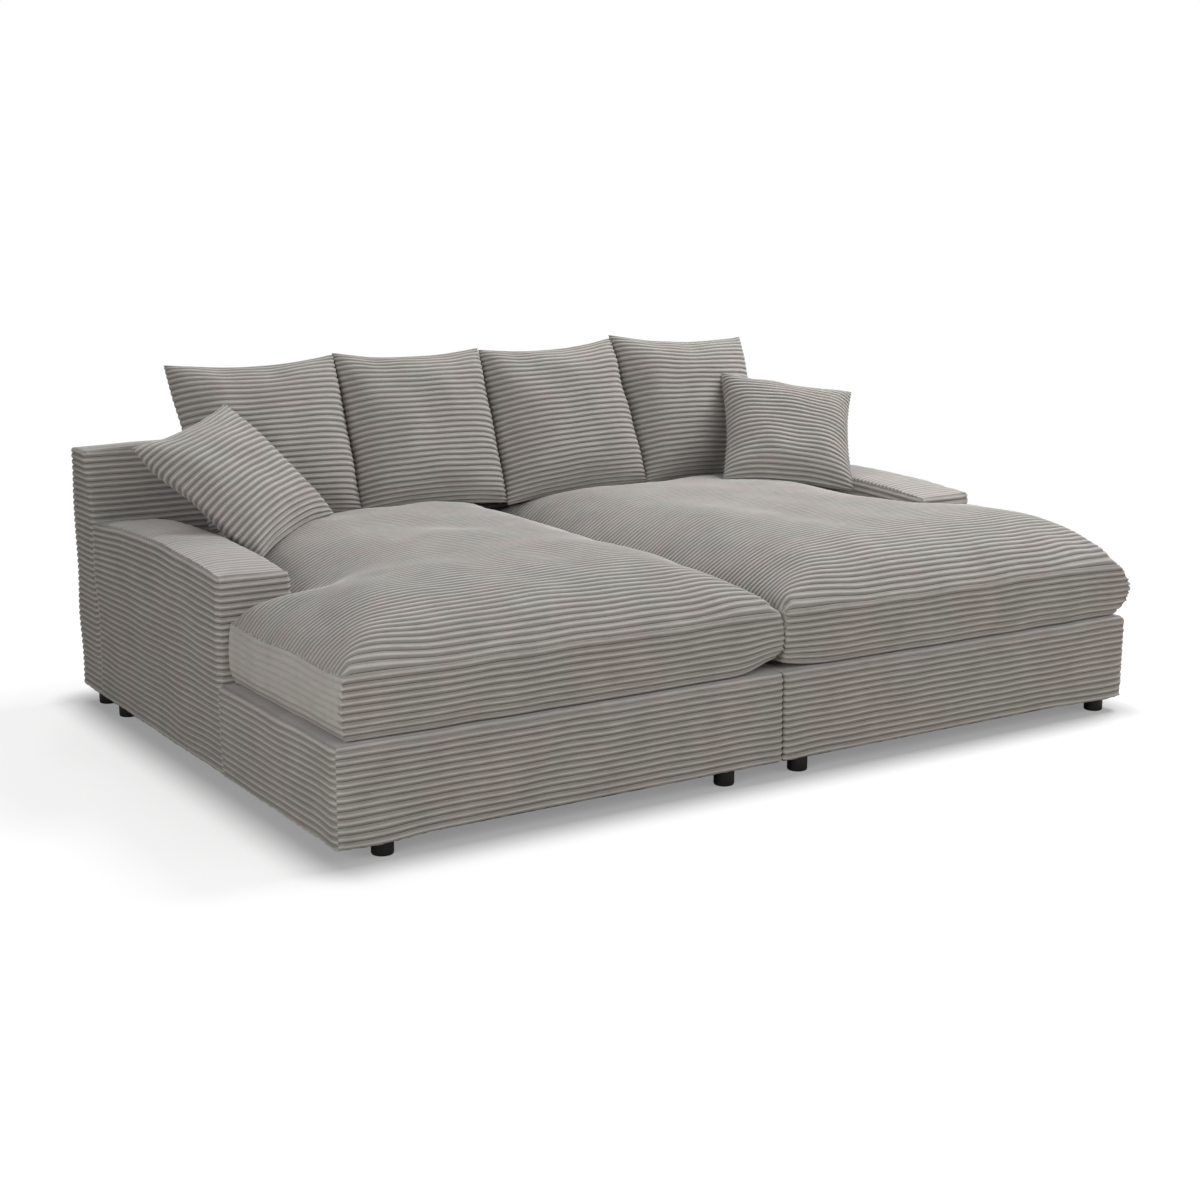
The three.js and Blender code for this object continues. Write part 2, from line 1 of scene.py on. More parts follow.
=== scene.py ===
"""A deep corduroy sofa in two modules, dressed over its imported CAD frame.

Lengths in the classes are in millimetres and in a module's own coordinates: across from its outer
side, behind from its front, up from the floor. Placed turns them into the row frame in metres,
mirrored for the right module.
"""

import logging
import math
from collections.abc import Callable, Sequence
from dataclasses import dataclass
from enum import Enum

import bmesh
import bpy
import numpy as np
from mathutils import Euler, Matrix, Vector
from mathutils.bvhtree import BVHTree


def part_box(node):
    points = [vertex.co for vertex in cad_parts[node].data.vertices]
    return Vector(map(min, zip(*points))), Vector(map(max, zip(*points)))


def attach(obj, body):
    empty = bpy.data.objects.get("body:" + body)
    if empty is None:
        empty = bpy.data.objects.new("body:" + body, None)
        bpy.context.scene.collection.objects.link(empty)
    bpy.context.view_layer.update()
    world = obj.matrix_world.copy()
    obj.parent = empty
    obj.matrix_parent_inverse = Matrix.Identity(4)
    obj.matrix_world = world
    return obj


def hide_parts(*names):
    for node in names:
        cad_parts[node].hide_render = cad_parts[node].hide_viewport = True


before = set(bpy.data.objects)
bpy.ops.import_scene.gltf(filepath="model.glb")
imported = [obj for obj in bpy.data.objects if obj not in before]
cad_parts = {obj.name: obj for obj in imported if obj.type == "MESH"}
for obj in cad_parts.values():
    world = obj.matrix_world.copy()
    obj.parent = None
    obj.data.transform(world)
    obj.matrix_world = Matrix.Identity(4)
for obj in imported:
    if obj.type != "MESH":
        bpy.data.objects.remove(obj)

LOG = logging.getLogger("sofa")
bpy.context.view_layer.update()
MM = 0.001

OVERALL_WIDTH = 2400.0
OVERALL_DEPTH = 1690.0
MODULE_WIDTH = 1198.5
ARM_WIDTH = 190.0
ARM_FRONT = 636.0
BACK_FRONT = 1533.0
SKIRT_BOTTOM = 45.0
DECK_TOP = 268.0
ARM_TOP = 536.0
BACK_TOP = 729.0
# Clearance between two pieces that touch
FIT = 0.3

# Jumbo corduroy: ribs of cut pile, 16.5 mm from groove to groove and 5 mm high, half of that sunk
# below the cloth's own surface. A low roundness gives broad crowns and narrow grooves.
WALE_PITCH = 16.5
WALE_HEIGHT = 5.0
WALE_ROUNDNESS = 0.55
WALE_SUNK_SHARE = 0.5
# Mesh rows over one rib, as shares of it, and the distance between columns along the ribs
WALE_ROWS = (0.0, 0.07, 0.22, 0.5, 0.78, 0.93)
COLUMN_SPACING = 13.0
# How far a seam is drawn in
SEAM_DEPTH = 3.0


class Side(Enum):
    """The two modules, named as they stand in the picture."""

    LEFT = "left"
    RIGHT = "right"


def linear(code: str) -> tuple[float, float, float, float]:
    """An sRGB hex colour as linear light.

    Args:
        code: Six hex digits.

    Returns:
        Red, green and blue in linear light, and an alpha of 1.
    """
    parts = [int(code[k : k + 2], 16) / 255 for k in (0, 2, 4)]
    low = [part / 12.92 if part <= 0.04045 else ((part + 0.055) / 1.055) ** 2.4 for part in parts]
    return (low[0], low[1], low[2], 1.0)


def add_node(
    tree: bpy.types.NodeTree,
    kind: str,
    inputs: dict | None = None,
    stops: Sequence[tuple[float, str]] = (),
    **settings,
) -> bpy.types.Node:
    """Adds a node with its settings, values and links.

    Args:
        tree: The node tree that the node goes into.
        kind: The node's type name without its ShaderNode prefix.
        inputs: A value or an output socket for each input, by its name or its index.
        stops: Places from 0 to 1 with their sRGB hex colours, for a colour ramp.
        **settings: Properties of the node itself.

    Returns:
        The new node.
    """
    node = tree.nodes.new("ShaderNode" + kind)
    for name, value in settings.items():
        setattr(node, name, value)
    for number, (place, code) in enumerate(stops):
        elements = node.color_ramp.elements
        element = elements[number] if number < len(elements) else elements.new(place)
        element.position = place
        element.color = linear(code)
    for name, value in (inputs or {}).items():
        socket = node.inputs[name]
        if isinstance(value, bpy.types.NodeSocket):
            tree.links.new(value, socket)
        else:
            socket.default_value = value
    return node


def fresh_material(name: str) -> tuple[bpy.types.Material, bpy.types.NodeTree, bpy.types.Node]:
    """An empty material with a Principled shader on its output.

    Args:
        name: The material's name.

    Returns:
        The material, its node tree and its shader.
    """
    material = bpy.data.materials.new(name)
    material.use_nodes = True
    tree = material.node_tree
    tree.nodes.clear()
    shader = add_node(tree, "BsdfPrincipled")
    add_node(tree, "OutputMaterial", {"Surface": shader.outputs["BSDF"]})
    return material, tree, shader


@dataclass(frozen=True)
class CorduroyFinish:
    """Jumbo cotton corduroy: woven ground with cut pile in ribs, brushed."""

    # The pile takes light softly. Painted highlight on the ribs' crowns, painted shade in their
    # grooves;
    # the pile lies this way and that in patches, each a little warmer or cooler than the next.
    name: str = "jumbo_cotton_corduroy"
    crown: str = "CFCCC8"
    flank: str = "A7A39E"
    groove: str = "5C5752"
    warm_tint: str = "FFF9F8"
    cool_tint: str = "FAFBF8"
    roughness: float = 0.95
    specular: float = 0.15
    sheen: float = 0.25
    sheen_roughness: float = 0.45
    # Patches as wide as a hand brushes, and streaks along the ribs, narrower than half a rib
    patch_mm: float = 95.0
    streak_mm: float = 46.0
    streak_share: float = 0.42
    # A tuft of cut pile is about 0.5 mm across and would not show, so it is drawn five times as coarse
    tuft_mm: float = 2.6
    tuft_depth_mm: float = 1.6
    rib_power: float = 0.6
    seed: float = 0.0

    def build(self) -> bpy.types.Material:
        """Makes the material, read from the cloth map: metres along the ribs, ribs counted across.

        Returns:
            The material.
        """
        material, tree, shader = fresh_material(self.name)
        cloth = add_node(tree, "UVMap", uv_map="cloth").outputs["UV"]
        parts = add_node(tree, "SeparateXYZ", {"Vector": cloth}).outputs
        # Painted light by place on the rib: painted shade in the grooves, a painted highlight on the
        # crowns
        base = add_node(
            tree,
            "ValToRGB",
            {"Fac": self.rib_shade_and_highlight(tree, parts["Y"])},
            stops=((0.1, self.groove), (0.4, self.flank), (0.87, self.flank), (1.0, self.crown)),
        ).outputs["Color"]
        patches, streaks, tufts, hues = self.noises(tree, parts)
        # Each noise's range, and the tones that it is spread over
        tone, streak, tuft = (
            add_node(tree, "MapRange", {0: noise, 1: low, 2: high, 3: dark, 4: light}).outputs[0]
            for noise, low, high, dark, light in (
                (patches, 0.3, 0.7, 0.93, 1.05),
                (streaks, 0.25, 0.75, 0.92, 1.07),
                (tufts, 0.25, 0.75, 0.88, 1.1),
            )
        )
        mixed = add_node(tree, "Math", {0: tone, 1: streak}, operation="MULTIPLY").outputs[0]
        mixed = add_node(tree, "Math", {0: mixed, 1: tuft}, operation="MULTIPLY").outputs[0]
        tint = add_node(
            tree, "ValToRGB", {"Fac": hues}, stops=((0.42, self.cool_tint), (0.58, self.warm_tint))
        ).outputs["Color"]
        coloured = add_node(tree, "VectorMath", {0: base, 3: mixed}, operation="SCALE").outputs[0]
        coloured = add_node(tree, "VectorMath", {0: coloured, 1: tint}, operation="MULTIPLY").outputs[0]
        tree.links.new(coloured, shader.inputs["Base Color"])
        shader.inputs["Roughness"].default_value = self.roughness
        shader.inputs["Specular IOR Level"].default_value = self.specular
        shader.inputs["Sheen Weight"].default_value = self.sheen
        shader.inputs["Sheen Roughness"].default_value = self.sheen_roughness
        pile = add_node(tree, "Math", {0: tufts, 1: streaks}, operation="ADD").outputs[0]
        bump = add_node(
            tree, "Bump", {"Height": pile, "Strength": 0.35, "Distance": self.tuft_depth_mm * MM}
        )
        tree.links.new(bump.outputs[0], shader.inputs["Normal"])
        return material

    def noises(
        self, tree: bpy.types.NodeTree, cloth: bpy.types.NodeOutputs
    ) -> list[bpy.types.NodeSocket]:
        """Makes the unevenness of the pile.

        Args:
            tree: The material's node tree.
            cloth: The parts of the cloth map.

        Returns:
            The sockets of brushed patches, streaks along the ribs, tufts, and patches of hue.
        """
        place = add_node(tree, "TexCoord").outputs["Object"]
        pitch = WALE_PITCH * MM
        across = add_node(tree, "Math", {0: cloth["Y"], 1: pitch}, operation="MULTIPLY").outputs[0]
        metres = add_node(tree, "CombineXYZ", {"X": cloth["X"], "Y": across, "Z": self.seed}).outputs[0]
        drawn_out = (1 / (self.streak_mm * MM), 1 / (self.streak_share * pitch), 1.0)
        long_place = add_node(tree, "Mapping", {"Vector": metres, "Scale": drawn_out}).outputs[0]
        patch_scale = 1 / (self.patch_mm * MM)
        # Each noise: its place, scale, detail and roughness
        return [
            add_node(
                tree,
                "TexNoise",
                {"Vector": vector, "Scale": scale, "Detail": detail, "Roughness": rough},
            ).outputs["Fac"]
            for vector, scale, detail, rough in (
                (place, patch_scale, 3.0, 0.55),
                (long_place, 1.0, 2.0, 0.6),
                (metres, 1 / (self.tuft_mm * MM), 3.0, 0.7),
                (place, 0.6 * patch_scale, 2.0, 0.5),
            )
        ]

    def rib_shade_and_highlight(self, tree: bpy.types.NodeTree, ribs: bpy.types.NodeSocket) -> bpy.types.NodeSocket:
        """Makes the painted shade and highlight over a rib: 0 in a full groove, 1 on a crown or on
        pressed cloth.

        Args:
            tree: The material's node tree.
            ribs: Ribs counted across the cloth.

        Returns:
            The tone's socket.
        """
        depth = add_node(tree, "Attribute", attribute_name="wale_height").outputs["Fac"]
        turned = add_node(tree, "Math", {0: ribs, 1: math.pi}, operation="MULTIPLY").outputs[0]
        wave = add_node(tree, "Math", {0: turned}, operation="SINE").outputs[0]
        rib = add_node(tree, "Math", {0: wave}, operation="ABSOLUTE").outputs[0]
        rib = add_node(tree, "Math", {0: rib, 1: self.rib_power}, operation="POWER").outputs[0]
        # Painted shade: deepest in a full groove, none on a crown, less where the ribs are low
        groove_shade = add_node(tree, "Math", {0: 1.0, 1: rib}, operation="SUBTRACT").outputs[0]
        groove_shade = add_node(tree, "Math", {0: groove_shade, 1: depth}, operation="MULTIPLY").outputs[0]
        return add_node(tree, "Math", {0: 1.0, 1: groove_shade}, operation="SUBTRACT").outputs[0]


@dataclass(frozen=True)
class PlainFinish:
    """A finish of one substance with a fine mottle at a real size."""

    name: str
    colour: str
    shade: str
    roughness: float
    metallic: float = 0.0
    grain_mm: tuple[float, float, float] = (6.0, 6.0, 6.0)
    bump_mm: float = 0.2
    detail: float = 4.0
    roughness_spread: float = 0.06

    def build(self) -> bpy.types.Material:
        """Makes the material on Object coordinates, its grain drawn out along its longest size.

        Returns:
            The material.
        """
        material, tree, shader = fresh_material(self.name)
        place = add_node(tree, "TexCoord").outputs["Object"]
        scale = tuple(1 / (size * MM) for size in self.grain_mm)
        scaled = add_node(tree, "Mapping", {"Vector": place, "Scale": scale}).outputs[0]
        grain = add_node(
            tree, "TexNoise", {"Vector": scaled, "Scale": 1.0, "Detail": self.detail}
        ).outputs["Fac"]
        stops = ((0.3, self.shade), (0.7, self.colour))
        colour = add_node(tree, "ValToRGB", {"Fac": grain}, stops=stops)
        tree.links.new(colour.outputs["Color"], shader.inputs["Base Color"])
        shader.inputs["Metallic"].default_value = self.metallic
        low, high = self.roughness - self.roughness_spread, self.roughness + self.roughness_spread
        rough = add_node(tree, "MapRange", {0: grain, 1: 0.0, 2: 1.0, 3: low, 4: high})
        tree.links.new(rough.outputs[0], shader.inputs["Roughness"])
        bump = add_node(tree, "Bump", {"Height": grain, "Strength": 0.5, "Distance": self.bump_mm * MM})
        tree.links.new(bump.outputs[0], shader.inputs["Normal"])
        return material


def wale_relief(phase: np.ndarray) -> np.ndarray:
    """How high the pile stands, 0 in a groove and 1 on a rib's crown.

    Args:
        phase: Ribs counted across the cloth.

    Returns:
        Heights of the same shape.
    """
    return np.abs(np.sin(np.pi * phase)) ** WALE_ROUNDNESS


def smooth_step(value: np.ndarray | float, low: float, high: float) -> np.ndarray:
    """Rises smoothly from 0 at low to 1 at high."""
    share = np.clip((np.asarray(value, float) - low) / (high - low), 0, 1)
    return share * share * (3 - 2 * share)


def fading(away: np.ndarray, width: float) -> np.ndarray:
    """1 at a place, fading smoothly to nothing within about two widths of it."""
    return np.exp(-((away / width) ** 2))


def lengths_along(points: np.ndarray) -> np.ndarray:
    """Distance from the first point to each point along a line of them."""
    steps = np.linalg.norm(np.diff(points, axis=0), axis=1)
    return np.concatenate([[0.0], np.cumsum(steps)])


def sampled(points: np.ndarray, places: np.ndarray) -> np.ndarray:
    """Points between the rows of a grid, on smooth curves through them.

    Args:
        points: An array whose first axis is the rows.
        places: Fractional row numbers.

    Returns:
        The array at those rows.
    """
    last = len(points) - 1
    row = np.clip(np.floor(places).astype(int), 0, last - 1)
    share = (places - row).reshape((-1,) + (1,) * (points.ndim - 1))
    padded = np.concatenate([2 * points[:1] - points[1:2], points, 2 * points[-1:] - points[-2:-1]])
    before, here, after, beyond = (padded[row + k] for k in range(4))
    return 0.5 * (
        2 * here
        + (after - before) * share
        + (2 * before - 5 * here + 4 * after - beyond) * share**2
        + (3 * here - before - 3 * after + beyond) * share**3
    )


def resampled(grid: np.ndarray, rows: np.ndarray, columns: np.ndarray) -> np.ndarray:
    """A grid of points sampled at fractional row and column numbers."""
    return sampled(sampled(grid, rows).transpose(1, 0, 2), columns).transpose(1, 0, 2)


def quads_of(numbers: np.ndarray) -> np.ndarray:
    """Faces between the rows and columns of a grid of point numbers."""
    return np.stack([numbers[:-1, :-1], numbers[:-1, 1:], numbers[1:, 1:], numbers[1:, :-1]], -1)


class Drift:
    """Smooth seeded unevenness, as stuffing gives a surface."""

    def __init__(self, seed: int, length: float, amount: float, waves: int = 16) -> None:
        """Draws the waves.

        Args:
            seed: Fixes the draw.
            length: Typical distance between two swells.
            amount: Typical height.
            waves: Number of waves added up.
        """
        draw = np.random.default_rng(seed)
        direction = draw.normal(size=(waves, 3))
        direction /= np.linalg.norm(direction, axis=1)[:, None]
        self.waves = direction * (2 * math.pi / (length * draw.uniform(0.7, 1.6, waves)))[:, None]
        self.phases = draw.uniform(0, 2 * math.pi, waves)
        self.amount = amount * math.sqrt(2 / waves)

    def at(self, points: np.ndarray) -> np.ndarray:
        """The height at each point of an array of any shape whose last axis is 3."""
        return self.amount * np.sin(points @ self.waves.T + self.phases).sum(-1)


@dataclass
class Sheet:
    """One sewn panel as a grid of points: rows across the ribs, columns along them."""

    points: np.ndarray
    ribs: np.ndarray
    height: np.ndarray | float = 1.0
    along: np.ndarray | None = None
    kept: np.ndarray | None = None
    seams: str = ""
    smooth: bool = True

    def __post_init__(self) -> None:
        """Spreads what was given for a row or for all points over the grid."""
        rows, columns = self.points.shape[:2]
        self.ribs = np.broadcast_to(np.asarray(self.ribs, float).reshape(rows, -1), (rows, columns))
        self.height = np.broadcast_to(np.asarray(self.height, float), (rows, columns))
        if self.along is None:
            self.along = lengths_along(self.points[rows // 2]) * MM
        self.along = np.broadcast_to(self.along, (rows, columns))
        if self.kept is None:
            self.kept = np.ones((rows - 1, columns - 1), bool)

    def seam_marks(self) -> np.ndarray:
        """1 at the points of the sewn edges: b, t, l and r for first and last row and column."""
        marks = np.zeros(self.points.shape[:2])
        edges = {"b": np.s_[0, :], "t": np.s_[-1, :], "l": np.s_[:, 0], "r": np.s_[:, -1]}
        for letter in self.seams:
            marks[edges[letter]] = 1
        return marks


@dataclass
class Placed:
    """Puts a module's own coordinates into the row frame."""

    side: Side

    def points(self, inside: np.ndarray) -> np.ndarray:
        """Millimetres in the module as metres in the row frame."""
        sign = 1 if self.side is Side.LEFT else -1
        x = sign * (inside[..., 0] - OVERALL_WIDTH / 2)
        y = inside[..., 1] - OVERALL_DEPTH / 2
        return np.stack([x, y, inside[..., 2]], -1) * MM


class Neighbours:
    """The soft pieces that are already made, which a loose cushion is pressed clear of."""

    # Room left for the ribs, the greatest depth looked at, and the direction and count of a test ray
    CLEARANCE = 2.9 * MM
    REACH = 30 * MM
    SLANT = Vector((0.3, 0.2, 0.93))
    MOST_WALLS = 40

    def __init__(self) -> None:
        """Starts with no piece."""
        self.pieces: list[tuple[BVHTree, np.ndarray, np.ndarray]] = []

    def add(self, piece: bpy.types.Object) -> None:
        """Remembers a finished piece."""
        mesh = piece.data
        spots = np.empty(len(mesh.vertices) * 3, np.float32)
        mesh.vertices.foreach_get("co", spots)
        spots = spots.reshape(-1, 3)
        tree = BVHTree.FromPolygons(spots.tolist(), [tuple(face.vertices) for face in mesh.polygons])
        self.pieces.append((tree, spots.min(0), spots.max(0)))

    def inside(self, tree: BVHTree, spot: Vector) -> bool:
        """Whether a point lies inside a closed piece."""
        walls = 0
        hit = tree.ray_cast(spot, self.SLANT)[0]
        while hit is not None and walls < self.MOST_WALLS:
            walls += 1
            hit = tree.ray_cast(hit + self.SLANT * 1e-5, self.SLANT)[0]
        return walls % 2 == 1

    def cleared(self, points: np.ndarray) -> np.ndarray:
        """Moves the points that lie in or against a remembered piece just out of it.

        Args:
            points: Points in metres in the row frame.

        Returns:
            The points, of which most haven't moved.
        """
        points = points.copy()
        for tree, low, high in self.pieces * 2:
            near = ((points > low - self.CLEARANCE) & (points < high + self.CLEARANCE)).all(1)
            for number in np.flatnonzero(near):
                spot = Vector(points[number])
                hit, normal, _, away = tree.find_nearest(spot, self.REACH)
                if hit is None:
                    continue
                above = (spot - hit).dot(normal)
                if 0 <= above and away < self.CLEARANCE:
                    points[number] = spot + normal * (self.CLEARANCE - away)
                elif above < 0 and self.inside(tree, spot):
                    points[number] = hit + normal * self.CLEARANCE
        return points


class Skin:
    """Sews sheets and flat closing faces into one closed mesh and raises its ribs."""

    # How far apart two edges may lie and still be sewn together
    LOOSE = 0.06 * MM
    # Unevenness of every cloth: a seed for each direction, distance between two swells, and height
    WANDER_SEEDS, WANDER = (3, 5, 7), (150, 0.45)

    def __init__(
        self, name: str, place: Callable[[np.ndarray], np.ndarray], neighbours: Neighbours | None = None
    ) -> None:
        """Starts an empty skin.

        Args:
            name: The piece's name.
            place: Turns the sheets' points into the row frame in metres.
            neighbours: The pieces that it is pressed clear of, if any.
        """
        self.name = name
        self.neighbours = neighbours
        self.place = place
        self.sheets: list[Sheet] = []
        self.faces: list[np.ndarray] = []
        self.wander = [Drift(seed, *self.WANDER) for seed in self.WANDER_SEEDS]

    def add(self, sheet: Sheet) -> None:
        """Adds a sheet."""
        self.sheets.append(sheet)

    def add_lips(self, below: np.ndarray, *edges: np.ndarray) -> None:
        """Adds a plain strip from a line of points to each of some others."""
        for edge in edges:
            self.add(Sheet(np.stack([below, edge]), np.zeros(2), 0.0, smooth=False))

    def close(self, outline: np.ndarray) -> None:
        """Adds one flat face with that outline."""
        self.faces.append(np.asarray(outline, float))

    def raw_mesh(self) -> bpy.types.Mesh:
        """Joins the sheets and closing faces without sewing them.

        Returns:
            The mesh, with its cloth map, rib relief, rib height and seam marks.
        """
        points, corners, counts, cloth, smooth = [], [], [], [], []
        values: dict[str, list[np.ndarray]] = {"relief": [], "wale_height": [], "seam": []}
        start = 0
        for sheet in self.sheets:
            rows, columns = sheet.points.shape[:2]
            number = np.arange(rows * columns).reshape(rows, columns)
            quads = quads_of(number)[sheet.kept].reshape(-1)
            spots = np.stack([sheet.along, sheet.ribs], -1).reshape(-1, 2)
            points.append(sheet.points.reshape(-1, 3))
            corners.append(quads + start)
            counts.append(np.full(len(quads) // 4, 4))
            smooth.append(np.full(len(quads) // 4, sheet.smooth))
            cloth.append(spots[quads])
            values["relief"].append((wale_relief(sheet.ribs) * sheet.height).ravel())
            values["wale_height"].append(sheet.height.ravel())
            values["seam"].append(sheet.seam_marks().ravel())
            start += rows * columns
        for outline in self.faces:
            count = len(outline)
            points.append(outline)
            corners.append(np.arange(count) + start)
            counts.append(np.array([count]))
            smooth.append(np.array([False]))
            cloth.append(outline[:, :2] * MM)
            for name in values:
                values[name].append(np.zeros(count))
            start += count
        placed = self.place(np.concatenate(points))
        placed += np.stack([drift.at(placed / MM) for drift in self.wander], -1) * MM
        if self.neighbours:
            placed = self.neighbours.cleared(placed)
        corner = np.concatenate(corners)
        count = np.concatenate(counts)
        mesh = bpy.data.meshes.new(self.name)
        mesh.vertices.add(len(placed))
        mesh.vertices.foreach_set("co", placed.astype(np.float32).ravel())
        mesh.loops.add(len(corner))
        mesh.loops.foreach_set("vertex_index", corner.astype(np.int32))
        mesh.polygons.add(len(count))
        first = np.concatenate([[0], np.cumsum(count)[:-1]])
        mesh.polygons.foreach_set("loop_start", first.astype(np.int32))
        mesh.polygons.foreach_set("use_smooth", np.concatenate(smooth))
        layer = mesh.uv_layers.new(name="cloth")
        layer.data.foreach_set("uv", np.concatenate(cloth).astype(np.float32).ravel())
        for name, parts in values.items():
            attribute = mesh.attributes.new(name, "FLOAT", "POINT")
            attribute.data.foreach_set("value", np.concatenate(parts).astype(np.float32))
        mesh.update()
        mesh.validate()
        return mesh

    def build(self) -> bpy.types.Object:
        """Sews the piece and raises its ribs along the normals.

        Returns:
            The new object at the origin.
        """
        mesh = self.raw_mesh()
        sewn = bmesh.new()
        sewn.from_mesh(mesh)
        spare = [point for point in sewn.verts if not point.link_faces]
        bmesh.ops.delete(sewn, geom=spare, context="VERTS")
        open_points = [point for point in sewn.verts if point.is_boundary]
        bmesh.ops.remove_doubles(sewn, verts=open_points, dist=self.LOOSE)
        bmesh.ops.recalc_face_normals(sewn, faces=sewn.faces)
        left_open = sum(edge.is_boundary for edge in sewn.edges)
        if sewn.calc_volume(signed=True) < 0:
            bmesh.ops.reverse_faces(sewn, faces=sewn.faces)
        sewn.to_mesh(mesh)
        sewn.free()
        self.raise_ribs(mesh)
        piece = bpy.data.objects.new(self.name, mesh)
        bpy.context.scene.collection.objects.link(piece)
        LOG.info("%s: %d faces, %d open edges", self.name, len(mesh.polygons), left_open)
        return piece

    @staticmethod
    def raise_ribs(mesh: bpy.types.Mesh) -> None:
        """Moves every point along its normal by its rib relief and its seam.

        Args:
            mesh: The sewn mesh, whose relief and seam marks are used up.
        """
        count = len(mesh.vertices)
        spots, normals = np.empty(count * 3, np.float32), np.empty(count * 3, np.float32)
        mesh.vertices.foreach_get("co", spots)
        mesh.vertex_normals.foreach_get("vector", normals)
        read = {}
        for name in ("relief", "wale_height", "seam"):
            read[name] = np.empty(count, np.float32)
            mesh.attributes[name].data.foreach_get("value", read[name])
        rise = (read["relief"] - WALE_SUNK_SHARE * read["wale_height"]) * WALE_HEIGHT
        rise -= read["seam"] * SEAM_DEPTH
        moved = spots.reshape(-1, 3) + normals.reshape(-1, 3) * (rise * MM)[:, None]
        mesh.vertices.foreach_set("co", moved.astype(np.float32).ravel())
        for name in ("relief", "seam"):
            mesh.attributes.remove(mesh.attributes[name])
        mesh.update()


@dataclass(frozen=True)
class AirFill:
    """Blender's cloth under air pressure on a coarse copy of a cushion, as its stuffing pushes it."""

    # The slack is a share of the cloth's size, and the cap is in millimetres
    pressure: float = 4.0
    slack: float = 0.0
    cap: float = 14.0
    frames: int = 20

    def moves(self, points: np.ndarray, quads: np.ndarray, sewn: np.ndarray) -> np.ndarray:
        """How far each point of the cloth is pushed, never past the cap.

        Args:
            points: The cloth's points in millimetres.
            quads: Its faces, pointing outwards, as four point numbers each.
            sewn: True at the points that the seams hold.
        """
        mesh = bpy.data.meshes.new("stuffing_trial")
        mesh.from_pydata((points * MM).tolist(), [], quads.tolist())
        trial = bpy.data.objects.new("stuffing_trial", mesh)
        scene = bpy.context.scene
        scene.collection.objects.link(trial)
        trial.vertex_groups.new(name="sewn").add(np.flatnonzero(sewn).tolist(), 1.0, "REPLACE")
        cloth = trial.modifiers.new("cloth", "CLOTH")
        settings = cloth.settings
        settings.quality = 5
        settings.use_pressure = True
        settings.uniform_pressure_force = self.pressure
        settings.effector_weights.gravity = 0
        settings.shrink_min = -self.slack
        settings.vertex_group_mass = "sewn"
        cloth.point_cache.frame_start = 1
        cloth.point_cache.frame_end = self.frames
        for number in range(1, self.frames + 1):
            scene.frame_set(number)
        blown = trial.evaluated_get(bpy.context.evaluated_depsgraph_get())
        spots = np.empty(len(points) * 3, np.float32)
        blown.data.vertices.foreach_get("co", spots)
        bpy.data.objects.remove(trial)
        bpy.data.meshes.remove(mesh)
        scene.frame_set(1)
        moved = spots.reshape(-1, 3) / MM - points
        far = np.linalg.norm(moved, axis=1, keepdims=True)
        LOG.info("air fill pushed %d points, %.1f mm at most before the cap", len(points), far.max())
        return moved * self.cap / np.sqrt(self.cap**2 + far**2)


def calmed(grid: np.ndarray, passes: int) -> np.ndarray:
    """Evens out a grid of moves between its edges, which stay.

    Args:
        grid: Moves, rows by columns by 3.
        passes: How often each move is averaged with its neighbours.

    Returns:
        The calmed moves.
    """
    grid = grid.copy()
    for _ in range(passes):
        grid[1:-1] = grid[1:-1] / 2 + (grid[:-2] + grid[2:]) / 4
        grid[:, 1:-1] = grid[:, 1:-1] / 2 + (grid[:, :-2] + grid[:, 2:]) / 4
    return grid


def rib_rows(length: float) -> tuple[np.ndarray, int]:
    """Rows over a length of cloth that holds a whole number of ribs.

    Args:
        length: The cloth's length across its ribs.

    Returns:
        Ribs counted at each row, and how many there are.
    """
    ribs = max(1, round(length / WALE_PITCH))
    rows = (np.arange(ribs)[:, None] + np.array(WALE_ROWS)).ravel()
    return np.append(rows, ribs), ribs


def rounded_side(
    start: Sequence[float], end: Sequence[float], inward: Sequence[float], radius: float
) -> np.ndarray:
    """Points along a rectangle's side in plan, from the middle of one rounded corner to the next.

    Args:
        start: The sharp corner where it starts.
        end: The sharp corner where it ends.
        inward: Unit direction into the rectangle.
        radius: The corners' radius.

    Returns:
        Points in plan.
    """
    start, end, inward = (np.asarray(value, float) for value in (start, end, inward))
    length = np.linalg.norm(end - start)
    forward = (end - start) / length
    turn = np.radians([45, 30, 15])
    arc = np.stack([radius - radius * np.sin(turn), radius - radius * np.cos(turn)], 1)
    cells = max(2, round((length - 2 * radius) / COLUMN_SPACING))
    middle = np.stack([np.linspace(radius, length - radius, cells + 1), np.zeros(cells + 1)], 1)
    back = arc[::-1] * [-1, 1] + [length, 0]
    local = np.concatenate([arc, middle, back])
    return start + local[:, :1] * forward + local[:, 1:] * inward


def coons(near: np.ndarray, far: np.ndarray, left: np.ndarray, right: np.ndarray) -> np.ndarray:
    """Fills the space within four edges.

    Args:
        near: The first row.
        far: The last row, in the same direction as near.
        left: The first column.
        right: The last column, in the same direction as left.

    Returns:
        The grid, rows by columns by 3.
    """
    rows, columns = len(left), len(near)
    s = lengths_along(left)[:, None, None] / max(lengths_along(left)[-1], 1e-9)
    t = lengths_along(near)[None, :, None] / max(lengths_along(near)[-1], 1e-9)
    ruled = (1 - s) * near[None] + s * far[None] + (1 - t) * left[:, None] + t * right[:, None]
    corner = (1 - s) * ((1 - t) * near[0] + t * near[-1]) + s * ((1 - t) * far[0] + t * far[-1])
    return (ruled - corner).reshape(rows, columns, 3)


